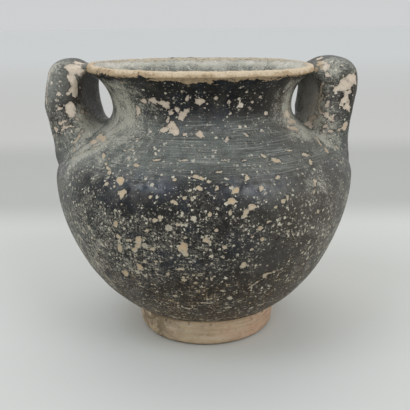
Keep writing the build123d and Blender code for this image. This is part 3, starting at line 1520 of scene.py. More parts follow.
@dataclass(frozen=True)
class WornSlip:
    """Black slip with a dull bloom, flaked and chipped through to pale clay."""

    bench: Bench
    black: Colour = (0.010, 0.010, 0.011)
    blue_black: Colour = (0.016, 0.019, 0.025)
    # The next colour is a painted bluish highlight, laid where the slip kept its polish
    blue_sheen: Colour = (0.046, 0.055, 0.076)
    worn_black: Colour = (0.045, 0.041, 0.035)
    brown: Colour = (0.034, 0.021, 0.011)
    bloom: Colour = (0.180, 0.191, 0.171)
    brown_bloom: Colour = (0.120, 0.108, 0.098)
    scored: Colour = (0.27, 0.28, 0.25)
    scuffed: Colour = (0.165, 0.154, 0.126)
    crust: Colour = (0.42, 0.405, 0.34)
    # Pale crust, also painted light where the right strap's shaded inner face goes past full crust
    lime_and_painted_light: Colour = (0.60, 0.555, 0.485)
    fleck: Colour = (0.60, 0.55, 0.445)
    low_fleck: Colour = (0.47, 0.36, 0.225)
    salt: Colour = (0.22, 0.215, 0.19)
    clay_pale: Colour = (0.50, 0.452, 0.360)
    clay_pink: Colour = (0.655, 0.575, 0.488)
    clay_warm: Colour = (0.475, 0.338, 0.205)
    # Grime in the pores, and painted shade just inside the slip's edge
    clay_grime_and_shade: Colour = (0.27, 0.205, 0.135)
    lip_clay: Colour = (0.60, 0.488, 0.352)
    # Painted shade on the lip's lower part, browner towards the slip's edge
    lip_brown: Colour = (0.40, 0.275, 0.155)
    slip_roughness: float = 0.42
    bloom_roughness: float = 0.60
    clay_roughness: float = 0.88
    shine: float = 0.12
    # Heights, distances from the axis and distances to the back where something sets in
    low_flaked: Span = (54.0, 28.0)
    low_scratched: Span = (66.0, 46.0)
    low_flecked: Span = (52.0, 34.0)
    shoulder_from: Span = (73.0, 79.0)
    shoulder_to: Span = (97.0, 91.0)
    warm_below: Span = (98.0, 76.0)
    pink_above: Span = (78.0, 88.0)
    lip_above: Span = (102.0, 105.0)
    lip_within: Span = (47.6, 46.4)
    lip_outside: Span = (40.6, 42.0)
    in_front: Span = (10.0, -10.0)
    # Distances to a chip's edge over which something sets in
    chip_edge: Span = (0.06, -0.06)
    chip_shadow: Span = (0.75, 0.15)
    chip_middle: Span = (0.0, -0.8)
    chip_border: Span = (-2.6, -0.9)
    chip_rim_inside: Span = (-1.3, -0.1)
    chip_rim_outside: Span = (0.3, 0.0)
    chip_pitted: Span = (-2.4, -0.3)
    # Flakes and specks
    ragged_flakes: Jitter = Jitter(0.7, 0.9)
    ragged_specks: Jitter = Jitter(0.6, 0.45)
    ragged_dots: Jitter = Jitter(0.4, 0.25)
    large_flakes: Flakes = Flakes(4.2, 1.30, 0.45, 0.004, 0.06, 0.35, 0.65)
    small_flakes: Flakes = Flakes(1.8, 0.74, 0.60, 0.006, 0.06, 0.7, 0.25)
    large_specks: Flakes = Flakes(1.35, 0.62, 0.62, 0.01, 0.07, 0.65, 0.30)
    small_specks: Flakes = Flakes(0.90, 0.48, 0.80, 0.02, 0.07, 0.80, 0.12, True)
    dots: Flakes = Flakes(0.52, 0.30, 0.75, 0.08, 0.07, 0.6, 0.06, True)
    clusters: Grain = Grain(9.0, 5.0, 0.65, (0.38, 0.62), 0.9, 0.1)
    low_flakes: float = 0.40
    stray_flakes: float = 0.01
    # Torn edges, tears and scratches
    torn_edge: Grain = Grain(1.7, 3.0, 0.6, scale=1.9)
    fine_torn_edge: Grain = Grain(0.55, 5.0, 0.8, scale=1.6)
    tears: Grain = Grain(1.8, 6.0, 0.8)
    tear_span: Span = (0.77, 0.80)
    tear_crowd: float = 0.19
    tear_tone: float = 0.8
    scratches: Grain = Grain(0.50, span=(0.66, 0.70))
    scratch_crowd: Span = (0.2, 0.6)
    scratch_tone: float = 0.7
    scratch_drift: float = 0.12
    # The slip itself, its bloom and its scored rings
    tinge: Grain = Grain(13.0, 3.0, span=(0.46, 0.60))
    # Patches of the painted bluish highlight
    painted_highlight_patches: Grain = Grain(6.0, 5.0, 0.7, (0.40, 0.64))
    mottle: Grain = Grain(5.0, 6.0, 0.7, (0.42, 0.72), 0.8)
    powder: Grain = Grain(0.50, 5.0, 0.8)
    powder_span: Span = (0.30, 0.58)
    powder_least: float = 0.35
    powder_lines: Span = (0.34, 0.50)
    bloom_streaks: Grain = Grain(0.8, 4.0, 0.75, (0.30, 0.66), 0.25)
    streak_drift: float = 0.10
    bloom_patches: Grain = Grain(4.0, 6.0, 0.8, (0.34, 0.62), 0.40)
    even_bloom: float = 0.35
    rings: Grain = Grain(0.40, 2.0, 0.6)
    ring_drift: float = 0.02
    pale_rings: Span = (0.53, 0.66)
    dark_rings: Span = (0.46, 0.34)
    rubbed: Grain = Grain(10.0, 3.0, 0.5, (0.40, 0.60), 0.55, 0.25)
    # Burial crust, scuffs and salt
    crust_grain: Grain = Grain(0.8, 6.0, 0.85, scale=5.2)
    crust_lumps: Grain = Grain(5.0, 3.0, scale=2.0)
    crust_span: Span = (0.20, 1.20)
    crust_fade: Span = (0.02, 0.25)
    crust_tone: float = 0.9
    lime_grains: float = 0.25
    lime_span: Span = (0.95, 1.65)
    lime_mottle: Grain = Grain(2.2, 5.0, 0.75, (0.38, 0.60), 0.75, 0.25)
    scuffs: Grain = Grain(1.6, 6.0, 0.85, (0.50, 0.66))
    scuff_crowd: Span = (0.05, 0.55)
    scuff_tone: float = 0.60
    salt_grains: Grain = Grain(0.45, 4.0, 0.75, (0.52, 0.74))
    salt_crowd: float = 0.45
    salt_least: float = 0.18
    # Painted shadow just outside each chip's edge, fainter under bloom
    shadow_tone: float = 0.6
    shadow_bloom: float = 0.4
    # Clay
    warm_least: float = 0.25
    clay_tones: Grain = Grain(11.0, 2.0, 0.5, (0.40, 0.60), 0.5, 0.5)
    border_swing: Grain = Grain(3.0, 5.0, 0.7, scale=1.6)
    border_span: Span = (0.1, 0.9)
    border_tone: float = 0.7
    pores: Grain = Grain(0.8, 5.0, 0.75, (0.50, 0.72))
    pore_lip: float = 0.3
    pore_least: float = 0.5
    rim_tone: float = 0.35
    pits: Grain = Grain(1.3, 6.0, 0.85, (0.53, 0.585))
    pit_least: float = 0.2
    pit_tone: float = 0.8
    # Flecks' colour, roughness, polish and relief
    low_patches: Grain = Grain(8.0, 3.0, span=(0.38, 0.58))
    gloss_swing: Grain = Grain(3.0, 4.0, scale=0.22)
    speck_gloss: float = 0.8
    polish: Grain = Grain(2.5, 4.0, span=(0.3, 0.6))
    grain: Grain = Grain(0.7, 4.0, 0.6, scale=0.07)
    fine_grain: Grain = Grain(0.25, scale=0.02)
    lines: Grain = Grain(0.6, 3.0, 0.7, scale=0.06)
    line_drift: float = 0.06
    rugged: Grain = Grain(1.6, 5.0, 0.7)
    rugged_height: float = 0.30
    bare_depth: float = 0.14
    speck_depth: float = 0.06
    crust_height: float = 0.8

    @cached_property
    def crowd(self) -> Signal:
        """How thickly flakes lie, in clusters."""
        clusters = self.bench.cloud(self.clusters)
        low_down = self.bench.height.rise(*self.low_flaked) * self.low_flakes
        crowd = self.bench.reading(Reading.FLAKE) * clusters
        return crowd.most(low_down).most(self.stray_flakes)

    @cached_property
    def chip(self) -> Signal:
        """Millimetres to a chip's torn edge, negative inside it."""
        torn = self.bench.swing(self.torn_edge, self.fine_torn_edge)
        return self.bench.reading(Reading.CHIP) + torn

    @cached_property
    def bare(self) -> Signal:
        """Where chips, flakes, tears and scratches bare the clay, 0 to 1."""
        bench, crowd = self.bench, self.crowd
        ragged = bench.jitter(self.ragged_flakes)
        large = bench.flakes(self.large_flakes, ragged, crowd)
        flakes = large.most(bench.flakes(self.small_flakes, ragged, crowd))
        start, end = (level - crowd * self.tear_crowd for level in self.tear_span)
        torn = bench.cloud(self.tears).rise(start, end)
        scratch = bench.cloud(self.scratches, bench.wheel(self.scratch_drift))
        scratch = scratch * bench.height.rise(*self.low_scratched)
        scratch = scratch * crowd.rise(*self.scratch_crowd)
        gone = self.chip.rise(*self.chip_edge).most(flakes)
        return gone.most(torn * self.tear_tone).most(scratch * self.scratch_tone)

    @cached_property
    def specks(self) -> Signal:
        """Tiny pale specks, some fainter than others, 0 to 1."""
        ragged = self.bench.jitter(self.ragged_specks)
        large = self.bench.flakes(self.large_specks, ragged, self.crowd)
        small = self.bench.flakes(self.small_specks, ragged, self.crowd)
        dots = self.bench.flakes(self.dots, self.bench.jitter(self.ragged_dots), self.crowd)
        return large.most(small).most(dots)

    @cached_property
    def dulled(self) -> Signal:
        """How much bloom lies on the slip, in streaks and patches."""
        streaks = self.bench.cloud(self.bloom_streaks, self.bench.wheel(self.streak_drift))
        kept = streaks + self.bench.cloud(self.bloom_patches) + self.even_bloom
        return self.bench.reading(Reading.BLOOM) * kept

    @cached_property
    def slip(self) -> Signal:
        """The slip's colour: black to brown, under bloom, scored rings and burial crust, with a
        painted bluish highlight where it kept its polish, painted light past full crust, and a
        painted shadow round each chip.
        """
        bench, crowd, height = self.bench, self.crowd, self.bench.height
        brown = bench.reading(Reading.BROWN)
        powder = bench.cloud(self.powder)
        powdered = self.dulled * powder.rise(*self.powder_span).lift(self.powder_least)
        shoulder = height.rise(*self.shoulder_from) * height.rise(*self.shoulder_to)
        rings = bench.cloud(self.rings, bench.wheel(self.ring_drift))
        lines = shoulder * bench.cloud(self.rubbed) * powder.rise(*self.powder_lines)
        dust = bench.reading(Reading.DUST)
        grains = bench.swing(self.crust_grain, self.crust_lumps)
        crust = (dust + grains).rise(*self.crust_span) * dust.rise(*self.crust_fade)
        lime_and_painted_light = (dust + grains * self.lime_grains).rise(*self.lime_span)
        scuff = bench.cloud(self.scuffs) * crowd.rise(*self.scuff_crowd)
        salt = bench.cloud(self.salt_grains) * (crowd * self.salt_crowd + self.salt_least)
        shadow = self.shadow_tone - self.dulled * self.shadow_bloom
        return painted(
            self.black,
            (bench.cloud(self.tinge), self.blue_black),
            # Painted bluish highlight where the slip kept its polish
            (bench.reading(Reading.SHEEN) * bench.cloud(self.painted_highlight_patches), self.blue_sheen),
            (brown, self.brown),
            (bench.cloud(self.mottle), self.worn_black),
            (powdered, brown.blend(self.bloom, self.brown_bloom)),
            (rings.rise(*self.pale_rings) * lines, self.scored),
            (rings.rise(*self.dark_rings) * lines, self.worn_black),
            (crust * self.crust_tone, self.crust),
            (lime_and_painted_light * bench.cloud(self.lime_mottle), self.lime_and_painted_light),
            (scuff * self.scuff_tone, self.scuffed),
            (salt, self.salt),
            (self.chip.rise(*self.chip_shadow) * shadow, self.black),
        )

    @cached_property
    def clay(self) -> Signal:
        """The clay under the slip, warmer deep in a chip, with grime in its pores, painted shade
        just inside the slip's edge, and painted shade browning the lip's lower part.
        """
        bench, chip, height = self.bench, self.chip, self.bench.height
        warm = chip.rise(*self.chip_middle) * height.rise(*self.warm_below).lift(self.warm_least)
        radius = bench.wheel(0.0).part("X")
        lip = height.rise(*self.lip_above) * radius.rise(*self.lip_within)
        border = chip.rise(*self.chip_border) + bench.swing(self.border_swing)
        outside = bench.where.part("Y").rise(*self.in_front) * radius.rise(*self.lip_outside)
        grime = bench.cloud(self.pores) * (lip * self.pore_lip + self.pore_least)
        # The rim is painted shade just inside the slip's edge, round chips and along the lip, in
        # the grime colour
        rim = chip.rise(*self.chip_rim_inside) * chip.rise(*self.chip_rim_outside) * self.rim_tone
        pits = bench.cloud(self.pits) * lip * chip.rise(*self.chip_pitted).lift(self.pit_least)
        return painted(
            self.clay_pale,
            (height.rise(*self.pink_above) * (1.0 - lip), self.clay_pink),
            (warm * bench.cloud(self.clay_tones), self.clay_warm),
            (lip * outside, self.lip_clay),
            # Painted shade on the lip's lower part, browner towards the slip's edge
            (border.rise(*self.border_span) * lip * outside * self.border_tone, self.lip_brown),
            (grime + rim, self.clay_grime_and_shade),
            (pits * self.pit_tone, self.worn_black),
        )

    @cached_property
    def relief(self) -> Signal:
        """The finish's fine relief, in millimetres."""
        bench = self.bench
        grain = bench.cloud(self.grain) + bench.cloud(self.fine_grain)
        lines = bench.cloud(self.lines, bench.wheel(self.line_drift))
        rugged = self.bare * bench.cloud(self.rugged) * bench.height.rise(*self.lip_above)
        relief = grain + lines + rugged * self.rugged_height
        relief = relief - self.bare * self.bare_depth - self.specks * self.speck_depth
        return relief + bench.reading(Reading.DUST) * grain * self.crust_height

    def material(self) -> Material:
        """Mix the finish.

        Returns:
            The material.
        """
        bench, bare, specks = self.bench, self.bare, self.specks
        low = bench.height.rise(*self.low_flecked) * bench.cloud(self.low_patches)
        flecks = low.blend(self.fleck, self.low_fleck)
        colour = painted(self.slip, (specks, flecks), (bare, self.clay))
        covered = self.dulled.most(bench.reading(Reading.DUST))
        gloss = covered.blend(self.slip_roughness, self.bloom_roughness)
        gloss = gloss + bench.swing(self.gloss_swing)
        gloss = bare.most(specks * self.speck_gloss).blend(gloss, self.clay_roughness)
        polish = bench.reading(Reading.SHEEN) * (1.0 - bare.most(specks))
        polish = polish * bench.cloud(self.polish)
        return bench.finish(colour, gloss, self.shine, self.relief, polish)


@dataclass(frozen=True)
class BareClay:
    """Turned clay with no slip, stained by use and burial, with a painted contact shadow along its
    bottom edge.
    """

    bench: Bench
    clay: Colour = (0.47, 0.365, 0.245)
    pink: Colour = (0.50, 0.325, 0.22)
    stain: Colour = (0.17, 0.122, 0.072)
    crust: Colour = (0.53, 0.48, 0.39)
    grime: Colour = (0.25, 0.18, 0.11)
    drips: Colour = (0.05, 0.045, 0.038)
    roughness: float = 0.86
    drip_roughness: float = 0.55
    shine: float = 0.35
    pink_side: Span = (-6.0, 20.0)  # from left to right
    pink_patches: Grain = Grain(9.0, 5.0, 0.65, (0.3, 0.6))
    turning: Grain = Grain(1.1, 4.0, 0.7)
    turning_drift: float = 0.05
    pale_rings: Span = (0.52, 0.66)
    dark_rings: Span = (0.48, 0.34)
    ring_tone: float = 0.45
    stain_patches: Grain = Grain(5.0, 5.0, 0.7, (0.36, 0.58))
    pores: Grain = Grain(1.3, 5.0, 0.75)
    pale_pores: Span = (0.54, 0.70)
    pale_pore_tone: float = 0.60
    dark_pores: Span = (0.46, 0.30)
    dark_pore_tone: float = 0.65
    # A painted contact shadow along the bottom edge where the foot meets the table, broken by
    # pores, in the stain colour
    contact_shade_below: Span = (1.5, 0.3)
    contact_shade_pores: Span = (0.30, 0.55)
    contact_shade_least: float = 0.5
    contact_shade_tone: float = 0.85
    drip_patches: Grain = Grain(2.2, 4.0, 0.7, (0.56, 0.64))
    pore_height: float = 0.12
    fine_grain: Grain = Grain(0.35, 3.0, scale=0.05)

    def material(self) -> Material:
        """Mix the finish.

        Returns:
            The material.
        """
        bench = self.bench
        pink = bench.where.part("X").rise(*self.pink_side) * bench.cloud(self.pink_patches)
        turning = bench.cloud(self.turning, bench.wheel(self.turning_drift))
        pores = bench.cloud(self.pores)
        # Painted contact shadow along the foot's bottom edge
        base = bench.height.rise(*self.contact_shade_below)
        base = base * pores.rise(*self.contact_shade_pores).lift(self.contact_shade_least)
        drips = bench.reading(Reading.BLOOM) * bench.cloud(self.drip_patches)
        colour = painted(
            self.clay,
            (pink, self.pink),
            (turning.rise(*self.pale_rings) * self.ring_tone, self.crust),
            (turning.rise(*self.dark_rings) * self.ring_tone, self.grime),
            (bench.reading(Reading.BROWN) * bench.cloud(self.stain_patches), self.stain),
            (pores.rise(*self.pale_pores) * self.pale_pore_tone, self.crust),
            (pores.rise(*self.dark_pores) * self.dark_pore_tone, self.grime),
            (base * self.contact_shade_tone, self.stain),
            (drips, self.drips),
        )
        gloss = drips.blend(self.roughness, self.drip_roughness)
        relief = pores * self.pore_height + bench.cloud(self.fine_grain)
        return bench.finish(colour, gloss, self.shine, relief)


# Table, light and camera


@dataclass(frozen=True)
class Lamp:
    """A square soft lamp that faces the jar, in metres and watts."""

    name: str
    place: tuple[float, float, float]
    colour: Colour
    width: float = 0.42
    watts: float = 2.3
    aim: tuple[float, float, float] = (0.0, 0.0, 0.07)

    def build(self) -> Thing:
        """Hang the lamp.

        Returns:
            The lamp.
        """
        data = bpy.data.lights.new(self.name, "AREA")
        data.shape = "SQUARE"
        data.size = self.width
        data.energy = self.watts
        data.color = self.colour
        lamp = set_out(self.name, data)
        lamp.location = self.place
        towards = Vector(self.aim) - Vector(self.place)
        lamp.rotation_euler = towards.to_track_quat("-Z", "Y").to_euler()
        return lamp


@dataclass(frozen=True)
class Studio:
    """A pale table and soft light from above, with two soft lamps to either side."""

    table: Colour = (0.605, 0.605, 0.572)
    # Past the jar the flat table is painted: first a shade band where paper would turn up, then the
    # backdrop, lighter further back
    painted_sweep_shade: Colour = (0.452, 0.450, 0.428)
    paper: Colour = (0.555, 0.550, 0.527)
    far_paper: Colour = (0.675, 0.69, 0.69)
    tint: Colour = (0.5, 0.5, 0.49)
    # Distances behind the jar, in millimetres, over which the table changes
    sweep_at: Span = (120.0, 190.0)
    paper_at: Span = (330.0, 450.0)
    far_at: Span = (300.0, 2000.0)
    tint_patches: Grain = Grain(60.0, 3.0, scale=0.05)
    roughness: float = 0.9
    shine: float = 0.1
    half_width: float = 6.0
    distance: Colour = (0.615, 0.628, 0.634)
    level_light: Colour = (1.10, 1.10, 1.08)
    top_light: Colour = (0.60, 0.615, 0.63)
    top_at: Span = (0.0, 0.9)
    sky: float = 1.01
    sun: float = 0.48
    sun_width: float = 50.0
    sun_tilt: tuple[float, float] = (-22.0, -3.0)
    lamps: tuple[Lamp, ...] = (
        Lamp("left_window", (-0.44, -0.37, 0.855), (0.80, 0.90, 1.0)),
        Lamp("right_window", (0.443, -0.568, 0.72), (0.90, 0.95, 1.0)),
    )

    def table_material(self) -> Material:
        """Mix the table's paper: flat, with a painted shade band behind the jar where paper would
        turn up, and painted backdrop tones beyond it, lighter further back.

        Returns:
            The material.
        """
        bench = Bench(bpy.data.materials.new("pale_table"))
        back = bench.where.part("Y")
        colour = painted(
            self.table,
            (back.rise(*self.sweep_at), self.painted_sweep_shade),
            (back.rise(*self.paper_at), self.paper),
            (back.rise(*self.far_at), self.far_paper),
            (bench.cloud(self.tint_patches), self.tint),
        )
        return bench.finish(colour, self.roughness, self.shine)

    def build_table(self) -> Thing:
        """Lay the table.

        Returns:
            The table.
        """
        w = self.half_width
        mesh = bpy.data.meshes.new("table")
        mesh.from_pydata([(-w, -w, 0), (w, -w, 0), (w, w, 0), (-w, w, 0)], [], [(0, 1, 2, 3)])
        mesh.materials.append(self.table_material())
        table = set_out("table", mesh)
        return table

    def build_sky(self) -> None:
        """Light the scene evenly from above, and show the far paper behind the table."""
        bench = Bench(bpy.data.worlds.new("soft_room"))
        bpy.context.scene.world = bench.made
        height = bench.signal(bench.add("ShaderNodeTexCoord"), "Generated").part("Z")
        room = height.rise(*self.top_at).blend(self.level_light, self.top_light)
        seen = bench.signal(bench.add("ShaderNodeLightPath"), "Is Camera Ray")
        sockets: dict[Any, Operand] = {0: seen}
        for number, colour, strength in ((1, room, self.sky), (2, self.distance, 1.0)):
            light = bench.add("ShaderNodeBackground", {"Color": colour, "Strength": strength})
            sockets[number] = bench.signal(light, "Background")
        both = bench.add("ShaderNodeMixShader", sockets)
        bench.add("ShaderNodeOutputWorld", {"Surface": bench.signal(both, "Shader")})

    def build_ceiling(self) -> Thing:
        """Add the wide soft light from above.

        Returns:
            The light.
        """
        data = bpy.data.lights.new("ceiling", "SUN")
        data.energy = self.sun
        data.angle = math.radians(self.sun_width)
        ceiling = set_out("ceiling", data)
        ceiling.rotation_euler = (*(math.radians(tilt) for tilt in self.sun_tilt), 0.0)
        return ceiling

    def build(self) -> None:
        """Set up table, sky and lamps."""
        self.build_table()
        self.build_sky()
        self.build_ceiling()
        for lamp in self.lamps:
            lamp.build()


@dataclass(frozen=True)
class Viewpoint:
    """The photograph's camera, in millimetres, degrees and picture widths."""

    place: tuple[float, float, float] = (-0.2, -264.8, 129.8)
    down: float = 16.45
    roll: float = -0.7
    focal_pixels: float = 646.3
    picture_pixels: float = 410.0
    sensor: float = 36.0
    clip: Span = (0.01, 50.0)

    def build(self) -> Thing:
        """Set up the camera and use it.

        Returns:
            The camera.
        """
        data = bpy.data.cameras.new("photographer")
        data.sensor_width = self.sensor
        data.sensor_fit = "HORIZONTAL"
        data.lens = self.sensor * self.focal_pixels / self.picture_pixels
        data.clip_start, data.clip_end = self.clip
        camera = set_out("photographer", data)
        tilt = Matrix.Rotation(math.radians(90.0 - self.down), 4, "X")
        roll = Matrix.Rotation(math.radians(self.roll), 4, "Z")
        camera.matrix_world = Matrix.Translation(Vector(self.place) * MM) @ tilt @ roll
        bpy.context.scene.camera = camera
        return camera


# This jar's own handles and wear


def chips_at(*rows: Numbers) -> tuple[Chip, ...]:
    """Chips from rows of two numbers for the place, half length, half width and turn."""
    return tuple(Chip(row[:2], *row[2:]) for row in rows)


def patches_at(*rows: Numbers) -> tuple[Patch, ...]:
    """Patches from rows of two numbers for the place, reach and amount."""
    return tuple(Patch(row[:2], *row[2:]) for row in rows)


@dataclass(frozen=True)
class Chance:
    """Chips for the sides that the photograph doesn't show, a few of them large."""

    seed: int
    count: int
    first: Span  # the least and greatest of the places' first number
    second: Span
    usual_length: float = 0.7
    longest: float = 4.0
    skew: tuple[float, float] = (0.35, 0.55)
    shape: Span = (0.3, 0.9)
    turn: Span = (-90.0, 90.0)

    def chips(self) -> tuple[Chip, ...]:
        """Throw the dice.

        Returns:
            The chips.
        """
        dice = random.Random(self.seed)
        found = []
        for _ in range(self.count):
            place = (dice.uniform(*self.first), dice.uniform(*self.second))
            length = min(self.longest, self.usual_length * math.exp(dice.gauss(*self.skew)))
            width = length * dice.uniform(*self.shape)
            found.append(Chip(place, length, width, dice.uniform(*self.turn)))
        return tuple(found)


RIGHT_INSIDE = ((43.9, 107.4), (45.0, 104.6), (45.4, 100.0), (45.1, 95.8), (44.4, 92.6))
RIGHT_OUTSIDE = (
    (44.2, 108.5), (48.6, 111.2), (53.0, 112.5), (57.8, 112.0), (61.2, 109.6),
    (62.7, 105.6), (62.7, 100.0), (61.5, 93.8), (60.4, 89.0), (60.0, 86.4),
)
LEFT_INSIDE = ((44.4, 108.0), (46.0, 105.4), (46.6, 100.4), (46.2, 95.4), (45.4, 91.8))
LEFT_OUTSIDE = (
    (44.2, 108.2), (48.4, 110.0), (52.4, 112.4), (56.3, 112.3), (59.7, 109.6),
    (61.4, 105.4), (63.0, 99.5), (63.5, 94.5), (62.6, 89.6), (62.2, 86.4),
)

BEHIND = Chance(91, 85, (78.0, 282.0), (16.0, 106.0))
BEHIND_RIGHT = Chance(92, 14, (0.15, 0.9), (-55.0, 110.0))
BEHIND_LEFT = Chance(93, 14, (0.15, 0.9), (-55.0, 110.0))

NECK_CHIPS = chips_at(
    (-20.4, 98.6, 4.2, 1.4, -32), (-25.5, 99.6, 2.2, 1.1, -20), (-20, 93.2, 1.3, 1, 60),
    (-11.2, 99.2, 0.7, 0.6, 17), (63, 90, 3.2, 1.6, -30), (69, 89.5, 3.2, 1.5, -20),
    (60, 88, 3, 1.1, -20), (-17.2, 92, 2.3, 1.4, -35), (-21.2, 90.4, 1.2, 1.1, 10),
    (-15.6, 89.8, 2.1, 1.4, -12), (-0.7, 100.2, 2.3, 1.6, 2), (-3, 89.4, 2.3, 1.5, -17),
    (-9.5, 88.9, 0.8, 0.6, 0), (-10.6, 95.5, 2.5, 1.2, 44), (65.8, 92, 3, 1.8, 15),
    (-33.6, 99.7, 1.8, 1.1, 6), (-40, 96.1, 1.9, 1.2, 84), (-14.3, 97.6, 1.3, 0.8, -34),
    (22.9, 88.6, 1.1, 0.7, -54), (-8.1, 100.6, 1.2, 0.7, 47), (-9.5, 103.2, 1.1, 0.7, -20),
    (7.8, 101.2, 0.8, 0.7, -26), (15.7, 99.2, 1.1, 0.7, -69), (34.6, 100.8, 1.1, 0.7, -28),
    (29.9, 99.1, 0.9, 0.5, -15), (12.5, 88, 0.9, 0.7, 55), (40.5, 94.9, 1.2, 0.7, -58),
    (-22.7, 107.2, 2.9, 0.8, 12), (-1.9, 106.6, 4.6, 1.2, 3), (4.5, 106.2, 2.2, 1, -15),
    (17.2, 107.3, 2.4, 0.6, -11), (33, 106.6, 2.6, 0.7, 14),
)
SHOULDER_CHIPS = chips_at(
    (-41.9, 78.9, 5.6, 0.55, -35), (-47.4, 80.7, 2.4, 0.6, -33), (-28.1, 71.8, 1.9, 1.7, 29),
    (-30, 75.3, 2.2, 1.2, -45), (-32, 73.6, 0.8, 0.7, 0), (30.2, 80.6, 2.4, 1.1, -27),
    (27.2, 81.6, 1.4, 0.7, -35), (-0.6, 76.9, 2.8, 0.6, -26), (48.1, 80.2, 2, 1.1, -31),
    (47.5, 78.4, 1.6, 0.7, 53), (70, 81.8, 3.2, 0.8, 40), (66, 79, 3, 0.7, 30),
    (66, 75.6, 2.6, 0.6, -50), (10.8, 73.6, 1.4, 1.1, 47), (4.3, 74.2, 1.5, 1.1, 58),
    (-10.4, 76.6, 1.2, 1, -47), (19.1, 73.7, 1.4, 0.8, 50), (15.2, 76.4, 1.2, 0.8, 52),
    (-2.3, 74.8, 1.5, 0.6, -25), (4.9, 78.6, 1, 0.6, 6), (-35.3, 73.8, 1.1, 0.9, 42),
    (-18.9, 81.6, 1.9, 0.5, 24), (-27, 79.9, 1.2, 0.7, -28), (-68.5, 77.1, 1.7, 0.6, 51),
    (-65.5, 79.6, 2.1, 0.6, 54), (-59.7, 81.8, 2.6, 0.6, 36), (-55.1, 84, 1.6, 0.6, 50),
    (41, 71.8, 2.6, 0.5, 59), (-43, 80.6, 1.1, 0.6, -6), (-35.4, 83.6, 1.4, 0.3, 18),
    (-35.2, 86.8, 1.2, 0.3, 18), (41.1, 82.3, 1.2, 0.35, -20), (17.1, 81.4, 1.3, 0.3, 1),
    (8.8, 81.7, 1, 0.3, -10), (-7.6, 81.8, 1.3, 0.3, 8), (27, 76.1, 0.8, 0.5, 18),
    (-65.9, 83, 4, 1.4, 12), (-62.8, 85.1, 4, 1.5, -5),
)
BELLY_CHIPS = chips_at(
    (-7, 54.2, 2.7, 1.8, -88), (-6.2, 51.6, 1.4, 0.9, -50), (9.1, 70.1, 1.8, 1.1, 4),
    (8.5, 66.4, 1.7, 0.8, -80), (0.7, 57, 2.1, 0.8, -43), (15.6, 68, 1.3, 1, -12),
    (13.7, 66.7, 1, 0.8, 80), (12.8, 64.7, 1, 0.8, -16), (-31.2, 51.4, 2.6, 1.1, 66),
    (-18, 52.1, 1.9, 1, 2), (-24.6, 44.4, 1.9, 1.2, -67), (-32.5, 39.1, 2.1, 1.5, 49),
    (-22.3, 55.6, 1.8, 1.1, 66), (-8.3, 62.8, 1.5, 0.7, -12), (-9.6, 70, 1.2, 0.7, 2),
    (-30.3, 55.2, 1.2, 1, -57), (-23.5, 52.7, 1.6, 0.8, 33), (-3.9, 71.6, 1.2, 0.6, 89),
    (1.9, 66.7, 1.2, 0.7, 79), (-15.5, 63.8, 1.1, 0.9, 17), (-18.5, 59.9, 1.5, 0.7, 21),
    (26.7, 40, 3.1, 0.5, 11), (14.3, 45.8, 1.8, 1.2, -76), (7, 53.9, 1.1, 0.7, 12),
    (-7.1, 45, 2.1, 0.45, 0), (-17.7, 71.8, 0.8, 0.5, 0), (-6.4, 71.9, 0.9, 0.7, -1),
    (29.1, 56.5, 1.6, 0.6, 62), (18.5, 60.1, 1.2, 1, -9), (-14.8, 64.9, 1.1, 0.8, -24),
    (-31.1, 60.5, 1.1, 0.8, 76), (-24.9, 51.6, 1.3, 0.7, 17), (-21.7, 55.2, 1.4, 0.6, 29),
    (-19.9, 56.7, 0.7, 0.5, 20), (-26.2, 55.1, 0.9, 0.6, 24), (-21.5, 47.1, 1, 0.6, 21),
    (-15.7, 47.4, 1.7, 0.4, 1), (-19.2, 43, 0.9, 0.6, 45), (-13.5, 41.8, 1.1, 0.8, -79),
    (-7.3, 39.9, 1.6, 0.6, -11), (-23.6, 27.5, 3.9, 0.4, -60), (-43.2, 51.5, 1, 0.5, 27),
    (-37, 66.1, 0.8, 0.4, 3), (-28, 67.9, 0.6, 0.3, 11), (3.9, 60.2, 0.6, 0.6, -12),
    (7.1, 51.9, 0.6, 0.4, -2), (6.9, 49.5, 0.7, 0.6, -30), (16.3, 57, 0.9, 0.6, -19),
    (19.6, 55.4, 1, 0.6, -70), (16.4, 52.2, 1.1, 0.7, -20), (21.1, 62, 0.8, 0.5, 7),
    (25.3, 55.2, 0.7, 0.6, -84), (26.3, 68.7, 0.8, 0.8, -67), (23.7, 67, 0.6, 0.5, 22),
    (27.9, 69.5, 0.7, 0.5, 83), (32.9, 58.4, 0.9, 0.4, -66), (31.9, 55.1, 1.5, 0.35, -59),
    (42.8, 46.5, 2, 0.4, -48), (20.5, 35.5, 2.8, 0.5, 44), (42.7, 62.3, 1.2, 0.5, -17),
    (53.2, 53.2, 1.9, 0.4, -37), (6.9, 34.3, 1.1, 0.4, -9), (-1, 28, 1.7, 0.45, -8),
    (-12.3, 31.5, 1, 0.4, 29), (15.8, 27.8, 1.4, 0.45, -4), (-6.6, 24, 1.9, 0.4, -4),
    (-18.5, 26.6, 1.5, 0.4, -25), (11.9, 23.9, 1.7, 0.4, -2), (-38, 15, 3.4, 0.45, 0),
    (-26, 16.2, 3, 0.4, -4), (-16, 14.6, 3.6, 0.45, 2), (-5, 15.4, 3.2, 0.45, 0),
    (5, 14.4, 3.8, 0.45, -2), (15, 15.6, 2.8, 0.4, 3), (26, 14.8, 3.6, 0.45, 0),
    (38, 16, 3, 0.4, 4),
)
